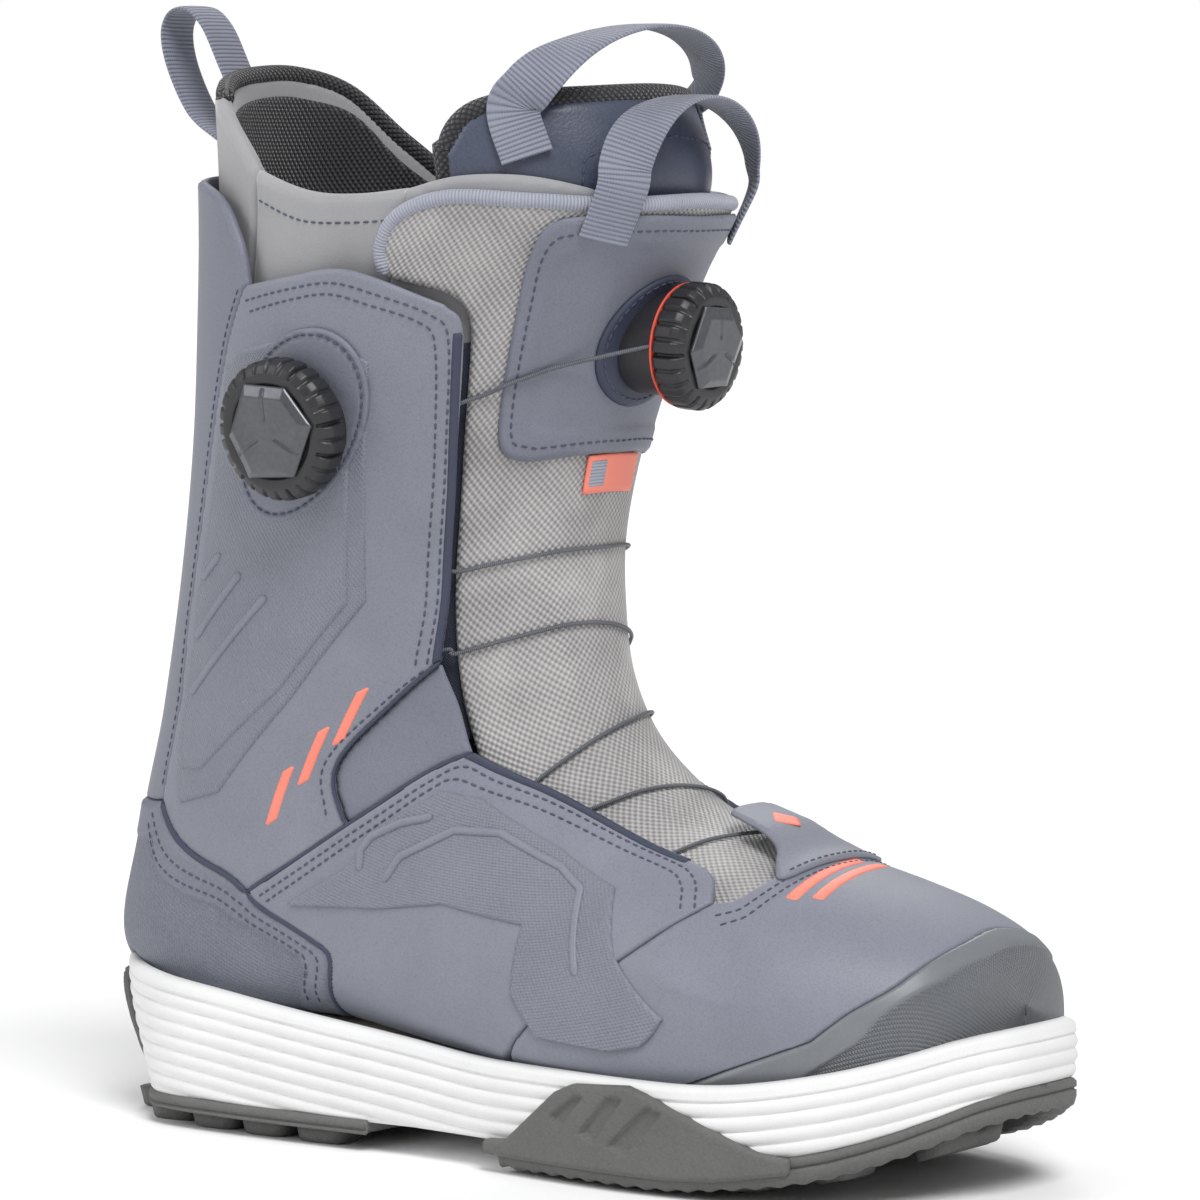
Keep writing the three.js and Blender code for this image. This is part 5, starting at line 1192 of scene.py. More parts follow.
    def trims(self) -> None:
        """Edge bindings at the lace line, navy piping in the seams, the lace tab and the coral prints."""
        for side, turned in (("lateral", lambda path: path), ("medial", mirror)):
            shift = lambda path, d: tuple((t, s + d) for t, s in path)
            front = CUFF_FRONT[1:]
            edge = ring_of(turned(front), straight(*turned((front[-1], shift(front[-1:], 0.012)[0]))),
                back(turned(shift(front, 0.012))),
                           straight(*turned((shift(front[:1], 0.012)[0], front[0]))))
            lace_edge = QUARTER_FRONT[2:]
            low = ring_of(turned(lace_edge), straight(*turned((lace_edge[-1], shift(lace_edge[-1:], 0.013)[0]))),
                          back(turned(shift(lace_edge, 0.013))),
                          straight(*turned((shift(lace_edge[:1], 0.013)[0], lace_edge[0]))))
            for node, ring, lift in ((f"cuff_webbing_{side}", edge, 0.3), (f"quarter_webbing_{side}", low, 0.8)):
                piece = Panel(node + "_edge", ring, level(lift + 0.55), level(lift - 2.4), PIPING, 0.8, 0.6).build()
                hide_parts(node)
                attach(piece, "boot")
            for number, seam in enumerate((back(HEEL_SEAM), back(HEEL_FRONT), NOTCH,
                QUARTER_MIDDLE + QUARTER_REAR[1:])):
                line, up = on_form(turned(seam), 0.35, 1.6)
                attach(tube(f"seam_piping_{side}_{number}", line, up, 0.9 if number < 2 else 0.55, PIPING, 8), "boot")
        tab = ring_of(((4.85, 0.0), (4.88, 0.12), (5.0, 0.15), (5.25, 0.12), (5.6, 0.078), (6.3, 0.066), (6.62, 0.058),
            (6.7, 0.0), (6.62, -0.058),
                       (6.3, -0.066), (5.6, -0.078), (5.25, -0.12), (5.0, -0.15), (4.88, -0.12), (4.85, 0.0)))
        arched = lambda t, s: 1.9 + 2.4 * smoothstep((t - 5.1) / 0.9)
        piece = Panel("lace_tab_panel", tab, arched, raised(arched, -1.5), SHELL, 0.8, 0.7).build()
        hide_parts("lace_tab")
        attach(piece, "boot")
        emblem = ((5.72, 0.0), (6.0, 0.032), (6.28, 0.0), (6.0, -0.032))
        bar = lambda a, b, w: ((a[0], a[1]), (b[0], b[1]), (b[0] + w, b[1]), (a[0] + w, a[1]))
        prints = {"tab_diamond": (emblem, 4.35), "vamp_stripe_front": (bar((4.22, 0.165), (4.48, -0.075), 0.17), 0.47),
                  "vamp_stripe_rear": (bar((4.5, 0.185), (4.7, -0.04), 0.17), 0.47)}
        for number, at in enumerate((0.0, 0.052, 0.104)):
            prints[f"cuff_bar_{number}"] = (((11.08 - at * 4, 0.385 + at), (10.62 - at * 4, 0.425 + at),
                (10.62 - at * 4, 0.443 + at), (11.08 - at * 4, 0.403 + at)), 0.32)
        for name, (path, lift) in prints.items():
            ring = straight(*path, path[0])[:-1]
            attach(Panel(name, ring, level(lift + 0.16), level(lift - 0.3), CORAL, 0.7, 0.15).build(), "boot")

    def sewing(self) -> None:
        """Rows of stitches along the panels' edges."""
        cuff_run = ((15.12, 0.62), (15.18, 0.55), (15.2, 0.49), (15.07, 0.432), (14.8, 0.352), (14.5, 0.325),
            (13.4, 0.308), (12.5, 0.301), (11.7, 0.301), (11.05, 0.316))
        cuff_second = ((15.02, 0.61), (15.08, 0.55), (15.1, 0.492), (14.98, 0.44), (14.74, 0.365), (14.45, 0.34),
            (13.4, 0.322), (12.5, 0.316), (11.7, 0.316), (11.1, 0.33))
        notch_run = ((10.95, 0.325), (10.82, 0.37), (10.5, 0.452), (9.95, 0.471))
        top_run = ((5.55, 0.262), (5.85, 0.222), (6.3, 0.208), (7.4, 0.222), (8.35, 0.249), (9.1, 0.288), (9.5, 0.31),
            (9.56, 0.35), (9.54, 0.42), (9.54, 0.53), (9.56, 0.6))
        top_second = ((5.7, 0.272), (5.95, 0.238), (6.35, 0.224), (7.4, 0.238), (8.3, 0.264), (9.02, 0.302),
            (9.4, 0.325), (9.46, 0.355), (9.44, 0.42), (9.44, 0.53), (9.46, 0.6))
        heel_run = ((11.05, 0.74), (10.66, 0.706), (10.0, 0.642), (9.66, 0.63), (9.4, 0.632), (8.76, 0.632),
            (8.5, 0.653), (8.25, 0.74))
        heel_second = ((10.98, 0.75), (10.6, 0.718), (9.95, 0.655), (9.62, 0.643), (9.4, 0.645), (8.8, 0.645),
            (8.58, 0.665), (8.35, 0.74))
        stay_run = ((11.3, 0.728), (11.9, 0.722), (12.7, 0.727), (14.0, 0.702), (14.76, 0.672), (15.2, 0.645))
        throat_run = ((5.2, 0.262), (4.98, 0.215), (4.9, 0.0), (4.98, -0.215), (5.2, -0.262))
        throat_second = ((5.05, 0.275), (4.84, 0.225), (4.76, 0.0), (4.84, -0.225), (5.05, -0.275))
        both = lambda *runs: [path for run in runs for path in (run, mirror(run))]
        rows = (("cuff_stitching", both(cuff_run, cuff_second, notch_run), 0.3),
            ("quarter_stitching", both(top_run, top_second), self.overlay),
                ("heel_stitching", both(heel_run, heel_second), 1.1), ("backstay_stitching", both(stay_run), -0.1),
                ("throat_stitching", [throat_run, throat_second], 0.45))
        for name, paths, lift in rows:
            face = raised(self.flare, lift) if name == "heel_stitching" else level(lift)
            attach(stitches(name, paths, face, THREAD_DARK if name == "heel_stitching" else THREAD), "boot")
        tab_rows = [((4.98, 0.12), (4.95, 0.0), (4.98, -0.12))]
        arched = lambda t, s: 1.9 + 2.4 * smoothstep((t - 5.1) / 0.9)
        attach(stitches("lace_tab_stitching", tab_rows, arched, THREAD), "boot")
        LOG.info("shell stitching")


@dataclass
class Tongue:
    """The opening shell tongue: woven face, bound top, leather shield, label, gussets and pull loop."""

    thickness: float = 2.2
    hinge_low: tuple[float, float, float] = (0.119, 0.0, 0.119)
    hinge_high: tuple[float, float, float] = (0.1165, 0.0, 0.140)

    def build(self) -> None:
        """Builds the tongue and everything on it."""
        side = ((4.6, 0.26), (6.0, 0.265), (7.5, 0.27), (9.0, 0.29), (9.9, 0.282), (10.5, 0.28), (11.7, 0.277),
            (12.5, 0.277), (13.4, 0.284), (14.5, 0.298), (14.85, 0.315), (15.02, 0.345), (15.12, 0.385), (15.22, 0.43))
        top = ((15.22, 0.43), (15.5, 0.445), (15.78, 0.43), (15.93, 0.37), (15.86, 0.27), (15.78, 0.15), (15.8, 0.0))
        whole_top = top + back(mirror(top))[1:]
        ring = ring_of(straight((4.6, -0.26), (4.6, 0.26)), side, whole_top, back(mirror(side)))
        face = Panel("tongue_face", ring, tongue_depth, raised(tongue_depth, -self.thickness), WEAVE, 1.3, 0.8).build()
        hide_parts("tongue_lower", "tongue_upper")
        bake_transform(face)
        edge = ((15.24, 0.43),) + top[1:]
        line, up = on_form(edge + back(mirror(edge))[1:], 0.0, 1.4, raised(tongue_depth, -self.thickness / 2))
        binding = tube("tongue_edge_binding", line, up, 2.1, BINDING, 14)
        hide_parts("tongue_binding")
        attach(binding, "shell_tongue")
        LOG.info("tongue face and binding")
        self.shield()
        self.gussets()
        self.loop()

    def shield(self) -> None:
        """The leather shield that carries the front dial, its stitched border, and the folded label."""
        half = ((13.0, 0.0), (13.04, 0.15), (13.1, 0.2), (13.25, 0.228), (13.6, 0.24), (14.8, 0.246), (15.4, 0.25),
            (15.62, 0.238), (15.68, 0.2), (15.66, 0.1), (15.64, 0.0))
        ring = ring_of(half, back(mirror(half)))
        top = raised(tongue_depth, SHIELD_LIFT)
        shift = ((13.3, 0.0), (13.33, 0.14), (13.45, 0.19), (13.8, 0.203), (14.8, 0.21), (15.25, 0.21), (15.35, 0.17),
            (15.34, 0.0))
        field = shift + back(mirror(shift))[1:-1]
        piece = Panel("tongue_shield_panel", ring, top, raised(tongue_depth, 0.2), SHELL_LOW, 1.2, 1.0,
            (Relief(field, -0.5, soft=1.6, closed=True),)).build()
        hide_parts("tongue_shield")
        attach(piece, "shell_tongue")
        run = ((13.14, 0.0), (13.18, 0.15), (13.26, 0.2), (13.5, 0.222), (14.8, 0.23), (15.38, 0.232), (15.5, 0.2),
            (15.5, 0.1), (15.49, 0.0))
        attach(stitches("shield_stitching", [run, mirror(run)], top, THREAD_DARK), "shell_tongue")
        label = straight((12.52, -0.075), (12.52, 0.075), (13.0, 0.075), (13.0, -0.075), (12.52, -0.075))[:-1]
        fold = raised(tongue_depth, 1.5)
        piece = Panel("tongue_label_fold", label, fold, raised(tongue_depth, 0.3), CORAL, 0.7, 0.5).build()
        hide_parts("tongue_label")
        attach(piece, "shell_tongue")
        patch = straight((12.6, 0.03), (12.6, 0.068), (12.92, 0.068), (12.92, 0.03), (12.6, 0.03))[:-1]
        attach(Panel("label_patch", patch, raised(fold, 0.15), raised(fold, -0.2), BINDING, 0.6, 0.1).build(),
            "shell_tongue")

    def gussets(self) -> None:
        """The thin stretch cloths between the tongue and the shell."""
        for side, sign in (("lateral", 1.0), ("medial", -1.0)):
            ring = straight((9.9, 0.215 * sign), (14.5, 0.215 * sign), (14.5, 0.36 * sign), (9.9, 0.36 * sign),
                (9.9, 0.215 * sign))[:-1]
            piece = Panel(f"gusset_{side}_cloth", ring, level(-7.15), level(-7.75), NAVY, 1.6, 0.3).build()
            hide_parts(f"gusset_{side}")
            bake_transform(piece)

    def loop(self) -> None:
        """The webbing hoop sewn to the shield."""
        lift = raised(tongue_depth, SHIELD_LIFT + WEBBING_THICKNESS / 2)
        line, across = hoop(15.42, 0.165, 15, 15.8, -6, 27, lift)
        piece = strap("shell_tongue_loop_webbing", line, across, WEBBING_WIDTH, WEBBING_THICKNESS, WEBBING)
        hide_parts("shell_tongue_loop")
        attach(piece, "shell_tongue")
        LOG.info("tongue shield, label, gussets and loop")


def hoop(t: float, s: float, legs: float, top_t: float, forward: float, rise: float,
    lift: DepthAt) -> tuple[np.ndarray, np.ndarray]:
    """The middle line of a hoop over a tongue, and the direction of its width.

    The feet rise along the face for `legs` millimetres; the arch between is half an ellipse whose height
    follows sin to the power 0.9.

    Args:
        t: row of the feet.
        s: column of the feet.
        legs: length of the feet.
        top_t: row over which the arch's top stands.
        forward: how far forward of that row the top is.
        rise: how far above it.
        lift: depth of the strap's middle where it is sewn down.

    Returns:
        Points and width directions.
    """
    one = lambda a, b: FORM.point(np.array(a), np.array(b), lift(np.array(a), np.array(b)))
    foot = one(t, s)
    up = one(t + 0.4, s) - foot
    up /= np.linalg.norm(up)
    tangent = one(t, s - 0.03) - one(t, s + 0.03)
    tangent /= np.linalg.norm(tangent)
    neck = foot + up * legs
    apex = one(top_t, 0.0) + np.array([forward, 0, rise])
    angle = np.linspace(0, math.pi, 15)
    high = np.sin(angle) ** 0.9
    arch = np.stack([neck[0] + (apex[0] - neck[0]) * high, neck[1] * np.cos(angle),
        neck[2] + (apex[2] - neck[2]) * high], -1)
    line = np.vstack([foot, arch, foot * np.array([1, -1, 1])])
    line = resample(catmull(line, 12), 140)
    f = np.linspace(0, 1, len(line))
    side = np.cos(f * math.pi)[:, None]
    across = np.array([1.0, 0, 0]) * (1 - np.abs(side)) + tangent * np.array([1.0, 0,
        1.0]) * np.abs(side) + np.array([0, tangent[1], 0]) * side
    return line, across


@dataclass
class Liner:
    """The padded inner boot: suede collar, mesh lining, spine, wrap flap, tongue, footbed and loops."""

    depth: float = 5.8
    front_depth: float = 8.2
    thickness: float = 4.6
    tongue_depth: float = 11.4
    tongue_thickness: float = 5.5

    def outside(self, t: np.ndarray, s: np.ndarray) -> np.ndarray:
        """Depth of the liner's outer face: deeper in front, where the shell's tongue lies over it."""
        front = smoothstep((0.53 - np.abs(s)) / 0.06) * (t > 4.5)
        return -self.depth - (self.front_depth - self.depth) * front

    def pad(self, name: str, ring: np.ndarray, finish: Finish, top: DepthAt, thick: float, cell: float = 1.7,
        fill: float = 0.8) -> bpy.types.Object:
        """Makes one foam-backed piece with fully rolled edges, standing for the CAD node of its name.

        Args:
            name: the CAD node.
            ring: its outline.
            finish: its cloth.
            top: depth of its outer face.
            thick: its thickness.
            cell: size of its facets.
            fill: not used.

        Returns:
            The piece.
        """
        piece = Panel(name + "_pad", ring, top, raised(top, -thick), finish, cell, thick * 0.48).build()
        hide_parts(name)
        return piece

    def build(self) -> None:
        """Builds the inner boot."""
        box = lambda t0, t1, s0, s1: straight((t0, s0), (t1, s0), (t1, s1), (t0, s1), (t0, s0))[:-1]
        hidden = {"liner_toe": box(0.02, 5, -FEATHER, FEATHER), "liner_sole": box(0.6, 10, FEATHER, 2 - FEATHER),
            "liner_instep": box(5, 9.5, -0.42, 0.42),
                  "liner_heel": box(10, 12.5, 0.66, 1.34)}
        for side, turned in (("lateral", lambda path: path), ("medial", mirror)):
            quarter = turned(((5, 0.42), (5, FEATHER), (10, FEATHER), (10, 0.66), (12.5, 0.66), (12.5, 0.42),
                (5, 0.42)))
            hidden[f"liner_quarter_{side}"] = straight(*quarter)[:-1]
        for name, ring in hidden.items():
            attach(self.pad(name, ring, MESH, self.outside, self.thickness, 2.6), "boot")
        bed = Panel("footbed_cushion", box(1, 9.5, FEATHER, 2 - FEATHER), level(-11.0), level(-14.2), BED, 2.4,
            1.2).build()
        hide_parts("footbed")
        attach(bed, "boot")
        self.collar()
        self.tongue()
        self.loops()
        LOG.info("inner boot")

    def collar(self) -> None:
        """The suede cuffs and spine, the wrap flap, the mesh lining inside them and the hem stitching."""
        rim = ((16.05, 0.42), (16.02, 0.5), (16.08, 0.57), (16.3, 0.66))
        low_rim = ((16.05, 0.42), (15.98, 0.5), (15.98, 0.57), (16.08, 0.66))
        for side, turned, top in (("lateral", lambda path: path, rim), ("medial", mirror, low_rim)):
            cuff = ring_of(straight(*turned(((12.5, 0.66), (12.5, 0.42), (16.05, 0.42)))), turned(top),
                straight(*turned((top[-1], (12.5, 0.66)))))
            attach(self.pad(f"liner_cuff_{side}", cuff, SUEDE, self.outside, self.thickness), "boot")
        high = ((16.3, 0.66), (16.6, 0.70), (16.92, 0.77), (17.13, 0.87), (17.22, 0.98), (17.22, 1.08), (17.05, 1.17),
            (16.55, 1.255), (16.08, 1.34))
        spine = ring_of(straight((12.5, 1.34), (12.5, 0.66), (16.3, 0.66)), high, straight((16.08, 1.34), (12.5, 1.34)))
        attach(self.pad("liner_spine", spine, SUEDE, self.outside, self.thickness), "boot")
        roll = ((16.98, 0.80), *high[3:], (16.0, 1.42), (15.98, 1.5), (16.03, 1.56))
        line, up = on_form(roll, 0.0, 1.8, level(-self.depth - self.thickness / 2 - 0.5))
        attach(tube("spine_edge", line, up, self.thickness * 0.56, MESH, 14), "boot")
        flap = ring_of(straight((13.5, 0.17), (13.5, 0.43), (16.03, 0.43)),
            ((16.03, 0.43), (16.14, 0.36), (16.12, 0.28), (15.98, 0.2), (15.9, 0.17)),
            straight((15.9, 0.17), (13.5, 0.17)))
        wrap = self.pad("liner_wrap_flap", flap, SUEDE, raised(self.outside, 0.4), 2.6, 1.4)
        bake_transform(wrap)
        low = ((15.85, 0.42), (15.85, 0.5), (15.9, 0.57), (16.12, 0.66), (16.4, 0.72), (16.72, 0.8), (16.93, 0.9),
            (17.02, 1.0))
        edge = low + ((17.0, 1.08), (16.85, 1.17), (16.35, 1.25), (15.95, 1.34), (15.82, 1.43), (15.82, 1.5),
            (15.85, 1.58))
        lining = ring_of(straight((12.2, 1.58), (12.2, 0.42), (15.85, 0.42)), edge,
            straight((15.85, 1.58), (12.2, 1.58)))
        inside = lambda t, s: self.outside(t, np.where(s > 1, 2 - s, s)) - self.thickness + 0.5
        piece = Panel("collar_lining", lining, inside, raised(inside, -1.6), MESH, 1.8, 0.7).build()
        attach(piece, "boot")
        hem = ((15.75, 0.43), (15.75, 0.5), (15.8, 0.57), (16.0, 0.645))
        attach(stitches("collar_hem_stitching", [hem, mirror(hem)], self.outside, THREAD), "boot")
        LOG.info("collar and lining")

    def tongue(self) -> None:
        """The padded liner tongue: coated navy face and a soft mesh edge."""
        side = ((9.9, 0.3), (11.0, 0.36), (12.0, 0.38), (16.0, 0.38), (16.45, 0.37))
        top = ((16.45, 0.37), (16.75, 0.33), (16.88, 0.26), (16.92, 0.15), (16.95, 0.0))
        ring = ring_of(straight((9.9, -0.3), (9.9, 0.3)), side, top + back(mirror(top))[1:], back(mirror(side)))
        face = level(-self.tongue_depth)
        pad = self.pad("liner_tongue", ring, COATED, face, self.tongue_thickness)
        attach(pad, "liner_tongue_pad")
        run = side[2:] + top[1:]
        line, up = on_form(run + back(mirror(run))[1:], 0.0, 1.8, level(-self.tongue_depth - self.tongue_thickness / 2))
        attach(tube("liner_tongue_edge", line, up, self.tongue_thickness * 0.56, MESH, 14), "liner_tongue_pad")
        channel = ((12.5, 0.2), (15.8, 0.2), (16.35, 0.16), (16.5, 0.0))
        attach(stitches("liner_tongue_stitching", [channel, mirror(channel)], face, THREAD_DARK), "liner_tongue_pad")

    def loops(self) -> None:
        """The liner tongue's hoop and the rear pull loop."""
        line, across = hoop(16.3, 0.27, 13, 16.95, -4, 18, level(-self.tongue_depth + 1.35))
        piece = strap("liner_tongue_loop_webbing", line, across, WEBBING_WIDTH, WEBBING_THICKNESS, WEBBING)
        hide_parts("liner_tongue_loop")
        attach(piece, "liner_tongue_pad")
        seat = FORM.point(np.array(16.0), np.array(1.0), np.array(-(2.6 + 1.45 + 0.65)))
        shape = np.array([[0, -3], [0, 6], [0, 12], [-2.5, 16], [-9, 19.5], [-18, 26], [-25, 38], [-27.5, 48],
            [-25, 54], [-19, 55],
                          [-13, 50], [-7.5, 40], [-3, 31], [-0.5, 24], [-0.2, 20]], float)
        line = np.stack([seat[0] + shape[:, 0], np.zeros(len(shape)), seat[2] + shape[:, 1]], -1)
        line = resample(catmull(line, 10), 130)
        piece = strap("rear_loop_webbing", line, np.tile([0.0, 1.0, 0.0], (len(line), 1)), WEBBING_WIDTH,
            WEBBING_THICKNESS, WEBBING)
        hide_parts("rear_loop")
        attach(piece, "boot")


@dataclass
class SoleUnit:
    """The white foam midsole with its flowing grooves, and the two rubber treads."""

    lug_height: float = 4.5
    tread_thickness: float = 4.2
    groove_pitch: float = 3.9
    groove_depth: float = 0.9
    wrap: float = 2.0
    serration_pitch: float = 6.5

    def build(self) -> None:
        """Builds the midsole and the treads."""
        self.midsole()
        self.tread("heel_tread", SOLE.a_of_x(64, outer=False) - 1.0, SOLE.a_of_x(64), self.heel_places())
        self.tread("forefoot_tread", SOLE.a_of_x(112), SOLE.a_of_x(112, outer=False), self.forefoot_places())
        self.wings()

    def taper(self, x: np.ndarray, share: np.ndarray) -> np.ndarray:
        """How far the back of the heel draws in towards the floor: 13 mm (1 - share)^1.7 behind x = -12."""
        return -13.0 * smoothstep((-12 - x) / 34) * np.clip(1 - share, 0, 1) ** 1.7

    def midsole(self) -> None:
        """Lofts the midsole: each ring is the plan line moved out by the wall's profile.

        Grooves run parallel to the rim: the wall sinks by depth (1 - |sin(pi g)|^0.6), g being the distance
        below the rim in pitches.
        """
        count = 560
        a = np.arange(count) / count
        at, _ = SOLE.plan_at(a)
        rim = SOLE.rim_at(at[:, 0])
        low = SOLE.floor_at(at[:, 0]) + self.lug_height + self.tread_thickness - 0.6
        share = np.linspace(0, 1, 66)[:, None]
        b = low + (rim - low) * share
        below = rim - b
        g = below / self.groove_pitch
        groove = -self.groove_depth * (1 - np.abs(np.sin(math.pi * g)) ** 0.6) * smoothstep((below - 3.4) / 0.8)
        bulge = 1.2 * np.sin(math.pi * np.clip(share, 0, 1)) ** 0.7
        roll = -2.2 * (1 - np.sqrt(1 - np.clip((share - 0.92) / 0.08, 0, 1) ** 2)) - 0.8 * np.clip(1 - share / 0.04, 0,
            1)
        wall = SOLE.point(np.broadcast_to(a, b.shape), b, groove + bulge + roll + self.taper(at[:, 0][None, :], share))
        wall[-1, :, 2] += 0.3
        lip = np.stack([SOLE.point(a, rim - 1.2 - k, -3.0 - 3.2 * k) for k in (0.0, 1.0, 2.4)])
        closing = wall[0].copy()
        closing[:, 1] = 0
        lid = lip[-1].copy()
        lid[:, 1] = 0
        points = np.concatenate([closing[None], wall, lip, lid[None]])
        run = np.arange(count) / count * SOLE.length
        uv = np.stack(np.broadcast_arrays(run[None, :], points[..., 2]), -1)
        piece = welded(to_object("midsole_foam", points.reshape(-1, 3), [grid_faces(len(points), count, wrap=True)],
            FOAM, uv.reshape(-1, 2)))
        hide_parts("midsole")
        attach(piece, "boot")
        LOG.info("midsole")

    def tread(self, node: str, start: float, end: float, places: Sequence[tuple[float, float, float, float]]) -> None:
        """Lofts one tread slab between two places on the plan line and sets its lugs.

        Args:
            node: the CAD node.
            start: where on the plan line it starts.
            end: where it ends.
            places: x, y, length and width of each lug.
        """
        count = 240
        a = np.linspace(start, end, count)
        at, _ = SOLE.plan_at(a)
        foot = SOLE.floor_at(at[:, 0]) + self.lug_height
        forefoot = node == "forefoot_tread"
        skirt = [(0.2, -9.0), (-2.9, -7.6), (-3.0, -0.6), (-2.4, 0.4), (-0.6, 0.9)] if forefoot else [(0.8, -1.0),
            (0.2, 0.3), (0.6, 0.9)]
        rows = [*skirt, (1.0, 0.95), (1.3, 0.3), (1.7, 0.3), (2.0, 0.95), (self.tread_thickness - 0.8, 0.9),
            (self.tread_thickness, 0.0)]
        draw = 0 if forefoot else self.taper(at[:, 0], np.zeros(count))
        serration = 0.35 * np.sin(a * SOLE.length * 2 * math.pi / self.serration_pitch)
        rings = [SOLE.point(a, foot + up + serration * (up < -2.0), out + draw) for up, out in rows]
        low, high = rings[0].copy(), rings[-1].copy()
        low[:, 1], high[:, 1] = 0, 0
        low[:, 2] = foot + 0.4
        points = np.stack([low, *rings, high])
        n, m = points.shape[:2]
        ends = [np.arange(n)[None] * m, (np.arange(n)[::-1] * m + m - 1)[None]]
        lugs, faces = self.lugs(places, n * m)
        piece = welded(to_object(node + "_rubber", np.vstack([points.reshape(-1, 3), lugs]),
            [grid_faces(n, m), *ends, faces], RUBBER))
        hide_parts(node)
        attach(piece, "boot")
        LOG.info("tread %s with %d lugs", node, len(places))

    def lugs(self, places: Sequence[tuple[float, float, float, float]], first: int) -> tuple[np.ndarray, np.ndarray]:
        """Rounded oblong lugs, all at once: each ring is |x/a|^5 + |y/b|^5 = 1, drafted and rolled at the foot.

        Args:
            places: x, y, length and width of each.
            first: number of the first point.

        Returns:
            Points and faces.
        """
        spec = np.asarray(places, float)
        angle = (np.arange(20) + 0.5) / 20 * 2 * math.pi
        reach = (np.abs(np.cos(angle)) ** 5 + np.abs(np.sin(angle)) ** 5) ** (-1 / 5)
        up = np.array([0.0, 0.0, 0.5, 1.4, self.lug_height + 1.2])
        grow = np.array([-40.0, -0.7, -0.1, 0.15, 1.0])
        half = spec[:, None, 2:4] / 2 + grow[None, :, None]
        half = np.maximum(half, 0.05)
        x = spec[:, 0][:, None, None] + half[..., 0][..., None] * (reach * np.cos(angle))
        y = spec[:, 1][:, None, None] + half[..., 1][..., None] * (reach * np.sin(angle))
        z = SOLE.floor_at(x.ravel()).reshape(x.shape) + up[None, :, None]
        points = np.stack([x, y, z], -1).reshape(-1, 3)
        base = grid_faces(5, 20, wrap=True)
        k = np.arange(20)
        cap = [np.stack([80 + k[1:-1], 80 + k[2:], np.full(18, 80), np.full(18, 80)], -1),
            np.stack([k[2:], k[1:-1], np.zeros(18, int), np.zeros(18, int)], -1)]
        sides = (base[None] + (first + np.arange(len(spec)) * 100)[:, None, None]).reshape(-1, 4)
        closing = np.vstack(cap)[:, :3]
        caps = (closing[None] + (first + np.arange(len(spec)) * 100)[:, None, None]).reshape(-1, 3)
        return points, np.concatenate([sides, np.hstack([caps, caps[:, -1:]])])

    def wings(self) -> None:
        """The rubber that climbs the midsole: a wing with three slots on each side of the ball, and the heel strip."""
        top = ((108, 8.6), (116, 9.5), (134, 24.0), (140, 26.8), (158, 28.0), (164, 26.5), (196, 14.0), (204, 12.6))
        bottom = ((204, 8.6), (185, 5.5), (170, 4.6), (140, 4.6), (116, 4.6), (108, 4.8))
        slots = (((133, 17.5), (141, 23.5), (144.5, 23.5), (137, 15.5)),
            ((143, 14.5), (153, 24.5), (157, 24.5), (147.5, 12.5)),
                 ((153, 12.0), (165, 23.0), (169.5, 21.6), (158, 10.2)))
        for side, outer in (("lateral", True), ("medial", False)):
            put = lambda path: tuple((SOLE.a_of_x(x, outer), z) for x, z in path)
            ring = ring_of(straight(*put(top)), straight(*put((top[-1], bottom[0]))), straight(*put(bottom)),
                straight(*put((bottom[-1], top[0]))))
            cuts = tuple(Relief(put(slot), -1.25, soft=0.6, closed=True) for slot in slots)
            piece = Panel(f"ball_wing_{side}", ring, level(self.wrap + 0.9), level(0.2), RUBBER, 0.8, 1.0, cuts,
                SOLE).build()
            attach(piece, "boot")
        reach = SOLE.a_of_x(-33)
        strip = ((-reach, 4.6), (-reach * 0.92, 20.0), (-reach * 0.8, 33.0), (-reach * 0.45, 38.2), (0.0, 39.5),
            (reach * 0.45, 38.2), (reach * 0.8, 33.0), (reach * 0.92, 20.0), (reach, 4.6))
        ring = ring_of(strip, straight((reach, 4.6), (-reach, 4.6)))
        draw = lambda a, b: self.taper(SOLE.plan_at(a.ravel())[0][:, 0].reshape(a.shape),
            np.clip((b - 8.0) / 32.0, 0, 1))
        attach(Panel("heel_strip", ring, raised(draw, self.wrap + 0.4), raised(draw, 0.2), RUBBER, 1.0, 1.0, (),
            SOLE).build(), "boot")

    def heel_places(self) -> Sequence[tuple[float, float, float, float]]:
        """x, y, length and width of the heel's lugs."""
        return ((0, 0, 22, 18), (-30, -11, 13, 14), (-30, 11, 13, 14), (-14, -27, 14, 11), (-14, 27, 14, 11),
            (5, -32, 14, 12), (5, 31, 14, 12),
                (24, -34, 14, 12), (24, 33, 14, 12), (44, -35, 15, 12), (44, 33, 15, 12), (28, 0, 18, 20))

    def forefoot_places(self) -> Sequence[tuple[float, float, float, float]]:
        """x, y, length and width of the forefoot's lugs."""
        return ((148, 0, 20, 22), (124, -40, 13, 14), (124, 36, 13, 14), (143, -43, 14, 13), (143, 39, 14, 13),
            (163, -45, 15, 12), (163, 41, 15, 12),
                (124, 0, 12, 22), (169, -20, 13, 16), (169, 18, 13, 16), (187, -41, 13, 14), (187, 36, 13, 14),
                (190, 0, 14, 20), (207, -31, 12, 14),
                (207, 27, 12, 14), (222, 0, 11, 30))


def welded(piece: bpy.types.Object) -> bpy.types.Object:
    """Merges a piece's doubled points and turns its faces outwards."""
    work = bmesh.new()
    work.from_mesh(piece.data)
    bmesh.ops.remove_doubles(work, verts=work.verts, dist=2e-5)
    bmesh.ops.recalc_face_normals(work, faces=work.faces)
    work.to_mesh(piece.data)
    work.free()
    return piece


